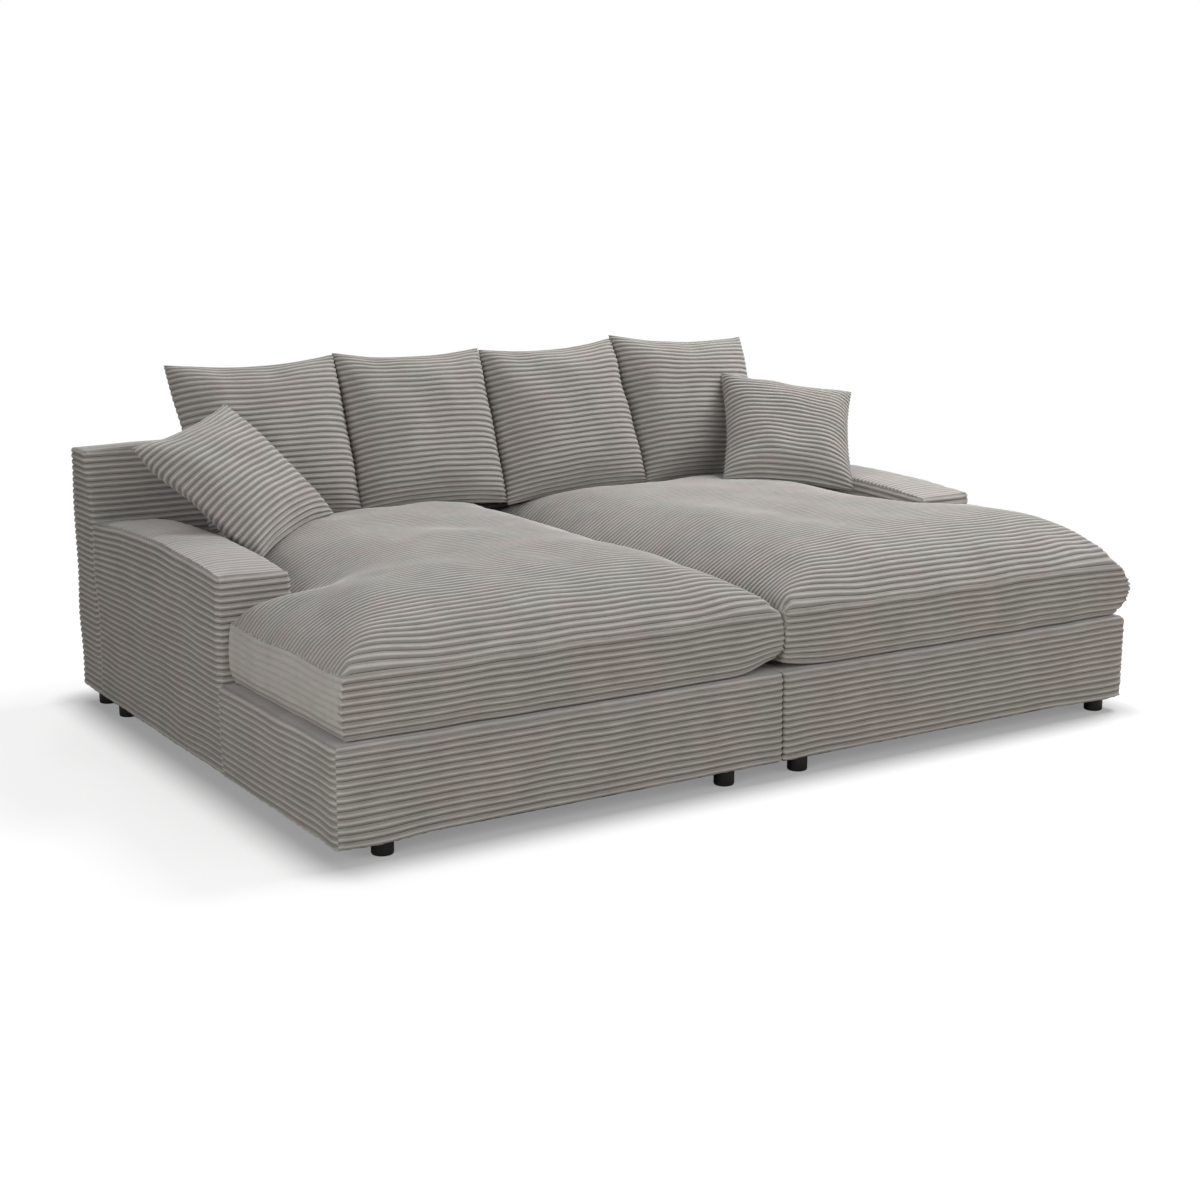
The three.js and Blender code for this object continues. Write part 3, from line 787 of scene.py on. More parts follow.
@dataclass
class CapCover:
    """A padded cap over a frame: ribbed walls, a smooth top, and a cavity that is open below."""

    side: Side
    piece: str
    # Near and far corner in plan, height, and the top edge's rounding: outer, front, inner and rear
    low: tuple[float, float]
    high: tuple[float, float]
    top: float
    radii: tuple[float, float, float, float]
    # The frame's room: its near corner in plan, then its far corner with the ceiling
    cavity_low: tuple[float, float]
    cavity_high: tuple[float, float, float]
    corner_radius: float = 12.0
    dome: float = 8.0
    top_height: float = 0.3
    seed: int = 1
    swell: float = 2.0

    # Each wall's direction into the cap, and how far its last three columns turn to the next wall's
    INWARD = ((1, 0), (0, 1), (-1, 0), (0, -1))
    CORNER_SHARES = np.array([0.5, 0.33, 0.17])
    # Distance between two swells, and the mean swell as a share of their unevenness
    SWELL_LENGTH, MEAN_SWELL = 240.0, 0.4
    # Shares of a wall's height below and above which it swells less, and how much less at its top edge
    CALM_FOOT, CALM_TOP, CALM_AMOUNT = 0.06, 0.94, 0.6
    # How squarely the dome ends across and along the cap, and how soon its rows reach it
    DOME_POWERS, DOME_ONSET = (4, 12), 6

    def lean(self, up: np.ndarray) -> np.ndarray:
        """How far the front wall stands back at that height."""
        return np.zeros_like(up)

    def crown(self, behind: np.ndarray, up: np.ndarray) -> np.ndarray:
        """How far the cover is raised there."""
        return np.zeros_like(behind)

    @staticmethod
    def corners(low: Sequence[float], high: Sequence[float]) -> list[tuple[float, float]]:
        """A rectangle's corners where the outer, front, inner and rear wall start."""
        return [(low[0], high[1]), (low[0], low[1]), (high[0], low[1]), (high[0], high[1])]

    def wall(self, number: int, share: np.ndarray, drift: Drift) -> np.ndarray:
        """One wall's points, from its foot to half-way round its top edge.

        Args:
            number: The wall's number.
            share: How far up the cloth each row lies, from 0 to 1.
            drift: The padding's unevenness.

        Returns:
            The grid, rows by columns by 3.
        """
        inward = np.array(self.INWARD, float)
        corners = self.corners(self.low, self.high)
        before, after = (number - 1) % 4, (number + 1) % 4
        line = rounded_side(corners[number], corners[after], inward[number], self.corner_radius)
        radius = np.full(len(line), self.radii[number])
        lean_in = np.broadcast_to(inward[number], (len(line), 2)).copy()
        for ends, other, weights in (
            (slice(0, 3), before, self.CORNER_SHARES),
            (slice(-3, None), after, self.CORNER_SHARES[::-1]),
        ):
            lean_in[ends] = lean_in[ends] * (1 - weights[:, None]) + inward[other] * weights[:, None]
            radius[ends] = radius[ends] * (1 - weights) + self.radii[other] * weights
        straight = self.top - SKIRT_BOTTOM - radius
        reach = share[:, None] * (straight + radius * math.pi / 4)
        turn = np.clip((reach - straight) / radius, 0, math.pi / 4)
        up = SKIRT_BOTTOM + np.minimum(reach, straight) + radius * np.sin(turn)
        inset = radius * (1 - np.cos(turn))
        flat = line[None] + lean_in[None] * inset[..., None]
        front_share = np.clip((self.high[1] - flat[..., 1]) / (self.high[1] - self.low[1]), 0, 1)
        flat[..., 1] += self.lean(up) * front_share
        up = up + self.crown(flat[..., 1], up)
        grid = np.concatenate([flat, up[..., None]], -1)
        outward = -lean_in / np.linalg.norm(lean_in, axis=1)[:, None]
        calm = smooth_step(share, 0, self.CALM_FOOT)
        calm = calm * (1 - self.CALM_AMOUNT * smooth_step(share, self.CALM_TOP, 1))
        bulge = (drift.at(grid) + self.swell * self.MEAN_SWELL) * calm[:, None]
        bulge *= self.free_wall(number)
        grid[..., :2] += outward[None] * bulge[..., None]
        return grid

    def build(self) -> bpy.types.Object:
        """Makes the cover as one closed piece.

        Returns:
            The new object.
        """
        skin = Skin(f"{self.side.value}_{self.piece}_upholstery", Placed(self.side).points)
        drift = Drift(self.seed, self.SWELL_LENGTH, self.swell)
        ribs, _ = rib_rows(self.top - SKIRT_BOTTOM)
        walls = [self.wall(number, ribs / ribs[-1], drift) for number in range(4)]
        for wall, after in zip(walls, walls[1:] + walls[:1]):
            wall[:, -1] = after[:, 0] = (wall[:, -1] + after[:, 0]) / 2
        run = 0.0
        for number, wall in enumerate(walls):
            along = lengths_along(wall[len(wall) // 2]) + run
            run = along[-1]
            skin.add(Sheet(wall, ribs, self.wall_height(number), along * MM, seams="lr"))
        outer, front, inner, rear = (wall[-1] for wall in walls)
        cap = coons(front, rear[::-1], outer[::-1], inner)
        rows = np.linspace(0, 1, cap.shape[0])[:, None]
        across = (cap[..., 0] - self.low[0]) / (self.high[0] - self.low[0])
        behind = (cap[..., 1] - self.low[1]) / (self.high[1] - self.low[1])
        rise = self.dome * np.minimum(np.minimum(rows, 1 - rows) * self.DOME_ONSET, 1)
        for place, power in zip((across, behind), self.DOME_POWERS):
            rise = rise * (1 - np.abs(2 * np.clip(place, 0, 1) - 1) ** power)
        cap[1:-1, 1:-1, 2] += rise[1:-1, 1:-1]
        skin.add(Sheet(cap, cap[:, :1, 1] / WALE_PITCH, self.top_height, cap[..., 0] * MM))
        self.close_below(skin, walls)
        return skin.build()

    def free_wall(self, wall: int) -> float:
        """How freely a wall swells, by its number."""
        return 1.0

    def wall_height(self, wall: int) -> float:
        """How high a wall's ribs stand, by its number."""
        return 1.0

    def close_below(self, skin: Skin, walls: list[np.ndarray]) -> None:
        """Adds the rim under the walls, the cavity's walls and its ceiling."""
        corners = np.array(self.corners(self.cavity_low, self.cavity_high))
        inner_loops = []
        for number, wall in enumerate(walls):
            places = np.linspace(0, 1, wall.shape[1])[:, None]
            line = corners[number] * (1 - places) + corners[(number + 1) % 4] * places
            below, above = (
                np.insert(line, 2, level, axis=1) for level in (SKIRT_BOTTOM, self.cavity_high[2])
            )
            skin.add_lips(below, wall[0], above)
            inner_loops.append(above[:-1])
        skin.close(np.concatenate(inner_loops))


@dataclass
class ArmCover(CapCover):
    """The arm: upright padded walls and a crowned top."""

    crown_rise: float = 20.0

    def crown(self, behind: np.ndarray, up: np.ndarray) -> np.ndarray:
        """The top's rise along the arm, which the upper ribs follow."""
        along = np.clip((behind - self.low[1]) / (self.high[1] - self.low[1]), 0, 1)
        return self.crown_rise * np.sin(math.pi * along) * smooth_step(up, DECK_TOP, ARM_TOP)

    def free_wall(self, wall: int) -> float:
        """The rear wall lies flat on the back."""
        return (1.0, 1.0, 0.4, 0.0)[wall]


@dataclass
class BackCover(CapCover):
    """The back: upright below, its front sloping back above the arms."""

    slope: float = 43.0

    def lean(self, up: np.ndarray) -> np.ndarray:
        """The front wall slopes back above the arm."""
        return self.slope * np.clip((up - ARM_TOP) / (BACK_TOP - ARM_TOP), 0, 1)

    def free_wall(self, wall: int) -> float:
        """The front wall keeps clear of the seat and the joining end of the other module."""
        return (0.8, 0.3, 0.1, 1.0)[wall]

    def wall_height(self, wall: int) -> float:
        """The ribs are pressed flat where the modules meet."""
        return (1.0, 1.0, 0.3, 1.0)[wall]


@dataclass
class BaseCover:
    """Front and side panels of the base and the padded deck that they run over."""

    side: Side
    edge_radius: float = 12.0
    panel_depth: float = 19.5
    deck_bottom: float = 228.3
    # How far the panels are drawn in at their sewn corner and at the joint, and how far along it shows
    corner_pull: float = 2.5
    corner_reach: float = 16.0
    joint_pull: float = 9.0
    joint_reach: float = 14.0
    # Padding all over, and its unevenness: distance between two swells, and their height
    swell: float = 1.2
    unevenness: tuple[float, float] = (300.0, 1.6)
    # How far the lower edge hangs under the arm, where, how widely in front and at the side, and
    # between which heights it ends
    droop: float = 7.0
    droop_place: float = 90.0
    droop_widths: tuple[float, float] = (130.0, 60.0)
    droop_heights: tuple[float, float] = (60.0, 150.0)
    seed: int = 11

    # Columns closer than the rest, counted from the corner and from the joint
    CORNER_COLUMNS = (0.0, 2.6, 7.0, 16.0)
    JOINT_COLUMNS = (12.0, 9.0, 5.0, 2.0, 0.0)
    # How far from foot and deck the panels lie still, and how far under the deck the ribs run out
    CALM_FOOT, CALM_DECK, RIBS_END = 12.0, 10.0, 14.0
    RIBS_LOST = 0.75
    # The side's ribs don't meet the front's: its count starts this much later
    SIDE_OFFSET = 0.4

    def lines(self, length: float) -> np.ndarray:
        """Column places from the corner, closer at both ends."""
        (*near, start), (end, *far) = self.CORNER_COLUMNS, length - np.array(self.JOINT_COLUMNS)
        cells = round((end - start) / COLUMN_SPACING)
        return np.concatenate([near, np.linspace(start, end, cells + 1), far])

    def profile(self) -> tuple[np.ndarray, np.ndarray, np.ndarray]:
        """Section of a panel from its foot to the deck: how far out, height, and ribs counted."""
        radius = self.edge_radius
        rise = DECK_TOP - radius - SKIRT_BOTTOM
        turn = radius * math.pi / 2
        ribs, _ = rib_rows(rise + turn)
        reach = ribs / ribs[-1] * (rise + turn)
        angle = np.clip((reach - rise) / radius, 0, math.pi / 2)
        up = SKIRT_BOTTOM + np.minimum(reach, rise) + radius * np.sin(angle)
        return radius * np.cos(angle), up, ribs

    def panels(self, across: np.ndarray, behind: np.ndarray) -> tuple[np.ndarray, np.ndarray]:
        """Points of the two panels.

        Args:
            across: Column places of the front panel.
            behind: Column places of the side panel.

        Returns:
            The grids of the front and of the side.
        """
        radius = self.edge_radius
        out, up, _ = self.profile()
        out_share = (out / radius)[:, None]
        front, side = (np.empty((len(up), len(places), 3)) for places in (across, behind))
        for grid, axis, places in ((front, 1, across), (side, 0, behind)):
            pull = self.corner_pull * np.clip(1 - (places - radius) / self.corner_reach, 0, 1) ** 2
            if grid is front:
                near_joint = np.clip(1 - (MODULE_WIDTH - places) / self.joint_reach, 0, 1)
                pull = pull + self.joint_pull * near_joint**2
            grid[..., 1 - axis] = places
            grid[..., axis] = radius - out[:, None] + out_share * pull
            grid[..., 2] = up[:, None]
        front[:, 0, 0] = radius - out + self.corner_pull * out / radius
        side[:, 0] = front[:, 0]
        calm = smooth_step(up, SKIRT_BOTTOM, SKIRT_BOTTOM + self.CALM_FOOT)
        calm = (calm * (1 - smooth_step(up, DECK_TOP - self.CALM_DECK, DECK_TOP)))[:, None]
        front_width, side_width = self.droop_widths
        droop = self.droop * fading(across - self.droop_place, front_width)
        droop = droop * (1 - smooth_step(up, *self.droop_heights))[:, None]
        front[..., 2] -= droop
        side[..., 2] -= droop[:, :1] * fading(behind - radius, side_width)
        drift = Drift(self.seed, *self.unevenness)
        for grid, axis in ((front, 1), (side, 0)):
            ends = smooth_step(np.arange(grid.shape[1]), 0, 3)
            grid[..., axis] -= drift.at(grid) * calm * ends + self.swell * calm * ends
        return front, side

    def build(self) -> bpy.types.Object:
        """Makes the cover as one closed piece.

        Returns:
            The new object.
        """
        radius = self.edge_radius
        skin = Skin(f"{self.side.value}_base_upholstery", Placed(self.side).points)
        _, up, ribs = self.profile()
        strip_end, rear_end = ARM_WIDTH + FIT, BACK_FRONT - FIT
        across = self.lines(MODULE_WIDTH - radius) + radius
        notch = int(np.argmin(np.abs(across - strip_end)))
        across[notch] = strip_end
        behind = self.lines(ARM_FRONT - FIT - radius) + radius
        cells = round((rear_end - behind[-1]) / COLUMN_SPACING)
        rows = np.concatenate([behind, np.linspace(behind[-1], rear_end, cells + 1)[1:]])
        front, side = self.panels(across, behind)
        fade = 1 - self.RIBS_LOST * smooth_step(up, DECK_TOP - self.RIBS_END, DECK_TOP)[:, None]
        skin.add(Sheet(front, ribs, fade, lengths_along(front[0]) * MM, seams="l"))
        side_ribs = ribs + self.SIDE_OFFSET
        skin.add(Sheet(side, side_ribs, fade, lengths_along(side[0]) * -MM, seams="l"))
        deck = np.empty((len(rows), len(across), 3))
        deck[..., 0] = across
        deck[..., 1] = rows[:, None]
        deck[..., 2] = DECK_TOP
        arm_row = len(behind) - 1
        kept = np.ones((len(rows) - 1, len(across) - 1), bool)
        kept[arm_row:, :notch] = False
        skin.add(Sheet(deck, rows[:, None] / WALE_PITCH, 0.0, kept=kept))
        self.close_below(skin, front, side, deck, notch, arm_row)
        return skin.build()

    def close_below(
        self,
        skin: Skin,
        front: np.ndarray,
        side: np.ndarray,
        deck: np.ndarray,
        notch: int,
        arm_row: int,
    ) -> None:
        """Adds the panels' inner sides, the cuts at the joint, the arm and the back, and the underside.

        Args:
            skin: The skin that they are sewn to.
            front: Points of the front panel.
            side: Points of the side panel.
            deck: Points of the deck.
            notch: The deck's column along the arm.
            arm_row: The deck's row along the front of the arm.
        """
        depth, lips = self.panel_depth, []
        for axis, panel in ((0, front), (1, side)):
            places = deck[0, :, 0] if axis == 0 else deck[: arm_row + 1, 0, 1]
            below = np.full((len(places), 3), depth)
            below[1:, axis] = places[1:]
            below[1:4, axis] = depth + np.array([0.1, 0.2, 0.3]) * (places[4] - depth)
            below[:, 2] = SKIRT_BOTTOM
            above = below * [1, 1, 0] + [0, 0, self.deck_bottom]
            skin.add_lips(below, panel[0], above)
            lips.append((below, above))
        (front_low, front_high), (side_low, side_high) = lips
        joint_rear, arm_rear, arm_corner = (
            [*place[:2], self.deck_bottom]
            for place in (deck[-1, -1], deck[-1, notch], deck[arm_row, notch])
        )
        for parts in (
            (front[:, -1], deck[1:, -1], [joint_rear], front_high[-1:], front_low[-1:]),
            (side[:, -1], deck[arm_row, 1 : notch + 1], [arm_corner], side_high[-1:], side_low[-1:]),
            (deck[arm_row:, notch], [arm_rear], [arm_corner]),
            (deck[-1, notch:], [joint_rear], [arm_rear]),
            (front_high, [joint_rear], [arm_rear], [arm_corner], side_high[:0:-1]),
        ):
            skin.close(np.concatenate(parts))


@dataclass
class SeatCushion:
    """The L-shaped seat cushion: one cloth up its front and over its crown, and boxed sides."""

    side: Side
    neighbours: Neighbours
    # Its seams in plan, the corner that the arm takes out of it, its foot and the height of its boxing
    outer: float = 28.0
    inner: float = 1190.5
    front: float = 15.0
    rear: float = 1525.0
    notch_across: float = 198.0
    notch_behind: float = 628.0
    bottom: float = 268.6
    boxing: float = 145.0
    # The crown's rise over its seams, and how far from each seam it takes to rise
    crown: float = 122.0
    reach: float = 330.0
    arm_reach: float = 330.0
    end_reaches: tuple[float, float] = (330.0, 250.0)
    # How far the sides swell out, how far they are drawn under, and how far the front bows forward
    bulge: float = 7.0
    tuck: float = 20.0
    bow: float = 13.0
    # At the front's outer and inner end: how far it swells sideways, and how far its foot is lifted
    end_bulges: tuple[float, float] = (8.0, 14.0)
    end_lifts: tuple[float, float] = (0.0, 26.0)
    seed: int = 21

    # Level under which a side is drawn under, how the distances to the seams blend into the nearest
    # one, and how the crown rises with it
    UNDER_LEVEL, BLEND, RISE_POWERS = 0.32, 4.0, (2.3, 0.72)
    # Control columns over the arm's width and past it, control rows before the arm and beside it, how
    # the former grow wider, and rows up the front as shares of it
    ARM_CELLS, REST_CELLS = 8, 42
    FRONT_CELLS, REAR_CELLS, ROW_GROWTH = 28, 36, 1.6
    FACE_LEVELS = np.array([0, 0.02, 0.06, 0.13, 0.22, 0.34, 0.48, 0.62, 0.76, 0.88])
    # The level that the front has reached where the crown starts
    TOP_LEVEL = 0.8
    # How far along the front its ends' swell and lift show
    BULGE_WIDTH, LIFT_WIDTH = 26.0, 70.0
    # How far behind the front the crown takes up its swell and its bow
    SWELL_DEPTH, BOW_DEPTH = 45.0, 160.0
    # Within this of either end the rows bend from the middle's spacing to the seam's
    ROW_BEND = 260.0
    # How high the ribs stand on the boxing at its seam, how much more by its foot, and the levels
    # between which that changes
    BOXING_RIBS, BOXING_LEVELS = (0.07, 0.42), (0.08, 0.3)
    # How far the walls round the arm's corner and at the rear swell, and how far back the foot of an
    # end is lifted
    NOTCH_BULGES, REAR_BULGE = (5.0, 6.0), 5.0
    FOOT_DEPTH = 90.0
    # Unevenness of the crown: distance between two swells, and their height
    UNEVENNESS = (260.0, 2.2)

    def swell(self, level: np.ndarray, bulge: float) -> np.ndarray:
        """How far a side stands out of its seams at a share of its height, drawn under at its foot."""
        under = self.tuck * (1 - np.sqrt(1 - (1 - np.clip(level / self.UNDER_LEVEL, 0, 1)) ** 2))
        return bulge * np.sin(math.pi * level) ** 0.8 - under

    def crown_at(self, u: np.ndarray, v: np.ndarray) -> np.ndarray:
        """The top's rise over its seams, from how far each seam is."""
        beyond = np.hypot(np.maximum(u - self.notch_across, 0), np.maximum(self.notch_behind - v, 0))
        edges = [u - self.outer, self.inner - u, v - self.front, self.rear - v, beyond]
        reaches = [*self.end_reaches, self.reach, self.reach, self.arm_reach]
        shares = (np.maximum(edge, 0.5) / reach for edge, reach in zip(edges, reaches))
        near = np.minimum(sum(share**-self.BLEND for share in shares) ** (-1 / self.BLEND), 1)
        steep, round_off = self.RISE_POWERS
        return self.crown * (1 - (1 - near) ** steep) ** round_off

    def top_rows(self) -> tuple[np.ndarray, np.ndarray, int]:
        """Control rows of the top along its middle.

        Returns:
            Their places in plan, the cloth's length to each, and the row at the arm's front.
        """
        forward = np.linspace(0, 1, self.FRONT_CELLS + 1) ** self.ROW_GROWTH
        behind = np.concatenate([
            self.front + (self.notch_behind - self.front) * forward,
            np.linspace(self.notch_behind, self.rear, self.REAR_CELLS + 1)[1:],
        ])
        fine = np.linspace(self.front, self.rear, 3000)
        middle = (self.notch_across + self.inner) / 2
        height = self.crown_at(np.full_like(fine, middle), fine)
        run = lengths_along(np.stack([fine, height], 1))
        return behind, np.interp(behind, fine, run), self.FRONT_CELLS

    def front_face(self, across: np.ndarray, bow: np.ndarray) -> np.ndarray:
        """Control points of the cloth up the front.

        Args:
            across: Places of the columns.
            bow: How far each column bows forward.

        Returns:
            The grid, rows by columns by 3.
        """
        levels = self.FACE_LEVELS[:, None]
        from_ends = (across - self.outer, self.inner - across)
        face = np.empty((len(levels), len(across), 3))
        face[..., 0] = across
        face[..., 1] = self.front - bow - self.swell(levels * self.TOP_LEVEL, self.bulge)
        face[..., 2] = self.bottom + self.boxing * levels
        for away, sign, bulge, lift in zip(from_ends, (-1, 1), self.end_bulges, self.end_lifts):
            face[..., 0] += sign * self.swell(levels, bulge) * fading(away, self.BULGE_WIDTH)
            face[..., 2] += lift * fading(away, self.LIFT_WIDTH) * (1 - levels) ** 1.5
        return face

    def top_face(self, across: np.ndarray, bow: np.ndarray) -> np.ndarray:
        """Control points of the cloth over the crown.

        Args:
            across: Places of the columns.
            bow: How far each column bows forward.

        Returns:
            The grid, rows by columns by 3.
        """
        behind, run, notch_row = self.top_rows()
        notch_run = run[notch_row]
        share = np.clip(run / notch_run, 0, 1)
        rest = (run - notch_run) / (run[-1] - notch_run)
        even = np.where(
            run <= notch_run,
            self.front + (self.notch_behind - self.front) * share,
            self.notch_behind + (self.rear - self.notch_behind) * rest,
        )
        from_end = np.minimum(across - self.outer, self.inner - across)
        inside = smooth_step(from_end, 0, self.ROW_BEND)
        v = even[:, None] * (1 - inside) + behind[:, None] * inside
        u = np.broadcast_to(across, v.shape)
        top = np.stack([u, v, self.bottom + self.boxing + self.crown_at(u, v)], -1)
        over = self.swell(np.array([self.TOP_LEVEL]), self.bulge)[0]
        for forward, depth in ((over, self.SWELL_DEPTH), (bow, self.BOW_DEPTH)):
            top[..., 1] -= forward * (1 - smooth_step(top[..., 1], self.front, self.front + depth))
        return top

    def build(self) -> bpy.types.Object:
        """Makes the cushion as one closed piece.

        Returns:
            The new object.
        """
        skin = Skin(f"{self.side.value}_seat_cushion_cover", Placed(self.side).points, self.neighbours)
        across = np.concatenate([
            np.linspace(self.outer, self.notch_across, self.ARM_CELLS + 1),
            np.linspace(self.notch_across, self.inner, self.REST_CELLS + 1)[1:],
        ])
        bow = self.bow * np.sin(math.pi * (across - self.outer) / (self.inner - self.outer)) ** 0.7
        control = np.concatenate([self.front_face(across, bow), self.top_face(across, bow)])
        _, run, notch_row = self.top_rows()
        cloth_run = np.concatenate([self.FACE_LEVELS * self.boxing, self.boxing + run])
        notch_row += len(self.FACE_LEVELS)
        control = self.uneven(control)
        control += self.filled(control, notch_row, self.ARM_CELLS)

        ribs, rib_count = rib_rows(cloth_run[-1])
        reached = ribs * cloth_run[-1] / rib_count
        rows = np.interp(reached, cloth_run, np.arange(len(cloth_run)))
        notch_fine = int(np.argmin(np.abs(rows - notch_row)))
        rows[notch_fine] = notch_row
        arm_columns = np.linspace(self.outer + 9, self.notch_across, 13)
        arm_columns = np.append([self.outer, self.outer + 3], arm_columns)
        cells = round((self.inner - self.notch_across) / COLUMN_SPACING)
        places = np.append(arm_columns, np.linspace(self.notch_across, self.inner, cells + 1)[1:])
        notch_column = len(arm_columns) - 1
        columns = np.interp(places, across, np.arange(len(across)))
        columns[notch_column] = self.ARM_CELLS
        fine = resampled(control, rows, columns)
        kept = np.ones((fine.shape[0] - 1, fine.shape[1] - 1), bool)
        kept[notch_fine:, :notch_column] = False
        skin.add(Sheet(fine, ribs, 1.0, places * MM, kept=kept))
        front_rows = int(np.argmin(np.abs(reached - self.boxing)))
        self.add_boxing(skin, fine, ribs[: front_rows + 1], notch_fine, notch_column)
        return skin.build()

    @staticmethod
    def filled(control: np.ndarray, notch_row: int, notch_column: int) -> np.ndarray:
        """Moves of the control points under the stuffing's pressure, held along every seam.

        Args:
            control: The cloth's control points.
            notch_row: The row along the front of the arm.
            notch_column: The column along the arm.

        Returns:
            Moves of the same shape.
        """
        rows, columns = control.shape[:2]
        kept = np.ones((rows - 1, columns - 1), bool)
        kept[notch_row:, :notch_column] = False
        sewn = np.zeros((rows, columns), bool)
        sewn[[0, -1], :] = True
        sewn[:, [0, -1]] = True
        sewn[notch_row:, : notch_column + 1] = True
        quads = quads_of(np.arange(rows * columns).reshape(rows, columns))[kept]
        moves = AirFill().moves(control.reshape(-1, 3), quads, sewn.ravel()).reshape(control.shape)
        return calmed(moves, passes=4)

    def uneven(self, control: np.ndarray) -> np.ndarray:
        """Soft swells of the stuffing."""
        drift = Drift(self.seed + (0 if self.side is Side.LEFT else 7), *self.UNEVENNESS)
        lift = smooth_step(control[..., 2], self.bottom + 20, self.bottom + self.boxing + 60)
        control[..., 2] += drift.at(control) * lift
        return control

    def add_boxing(
        self, skin: Skin, fine: np.ndarray, ribs: np.ndarray, notch_row: int, notch_column: int
    ) -> None:
        """Adds the side walls between the top's seam and the bottom, and the bottom.

        Args:
            skin: The skin that they are sewn to.
            fine: The cloth from the front's lower edge to the rear.
            ribs: Ribs counted up the front, at each of the cloth's rows that the corners hold.
            notch_row: The cloth's row along the front of the arm.
            notch_column: The cloth's column along the arm.
        """
        front_rows = len(ribs) - 1
        levels = ribs / ribs[-1]
        rise = levels[:, None, None]
        seam_height, foot_height = self.BOXING_RIBS
        height = seam_height + foot_height * (1 - smooth_step(levels, *self.BOXING_LEVELS))
        before = fine[: front_rows + 1, 0]
        bottom_loop = []
        # Outer end, along and behind the arm's front, rear, and inner end: seam, direction, swell
        walls = (
            (fine[front_rows : notch_row + 1, 0], (-1, 0, 0), self.end_bulges[0]),
            (fine[notch_row, : notch_column + 1], (0, 1, 0), self.NOTCH_BULGES[0]),
            (fine[notch_row:, notch_column], (-1, 0, 0), self.NOTCH_BULGES[1]),
            (fine[-1, notch_column:], (0, 1, 0), self.REAR_BULGE),
            (fine[front_rows:, -1][::-1], (1, 0, 0), self.end_bulges[1]),
        )
        # The two ends stand on the front's lower corners: first or last of their own points, and column
        near_points = {0: 0, len(walls) - 1: -1}
        for number, (edge, away, bulge) in enumerate(walls):
            foot = edge.copy()
            foot[:, 2] = self.bottom
            if number in near_points:
                near = near_points[number]
                far, corner = -1 - near, fine[0, near]
                foot[:, 1] = np.interp(edge[:, 1], edge[[near, far], 1], [corner[1], edge[far, 1]])
                lift = fading(foot[:, 1] - foot[near, 1], self.FOOT_DEPTH)
                foot[:, 2] += (corner[2] - self.bottom) * lift
            grid = foot[None] * (1 - rise) + edge[None] * rise
            grid += self.swell(levels, bulge)[:, None, None] * np.array(away)
            grid[:, 0] = before
            if number == len(walls) - 1:
                grid[:, -1] = fine[: front_rows + 1, -1]
            before = grid[:, -1].copy()
            skin.add(Sheet(grid, ribs, height[:, None], lengths_along(edge) * MM, seams="tlr"))
            bottom_loop.append(grid[0, :-1])
        skin.close(np.concatenate([*bottom_loop, fine[0][::-1][:-1]]))


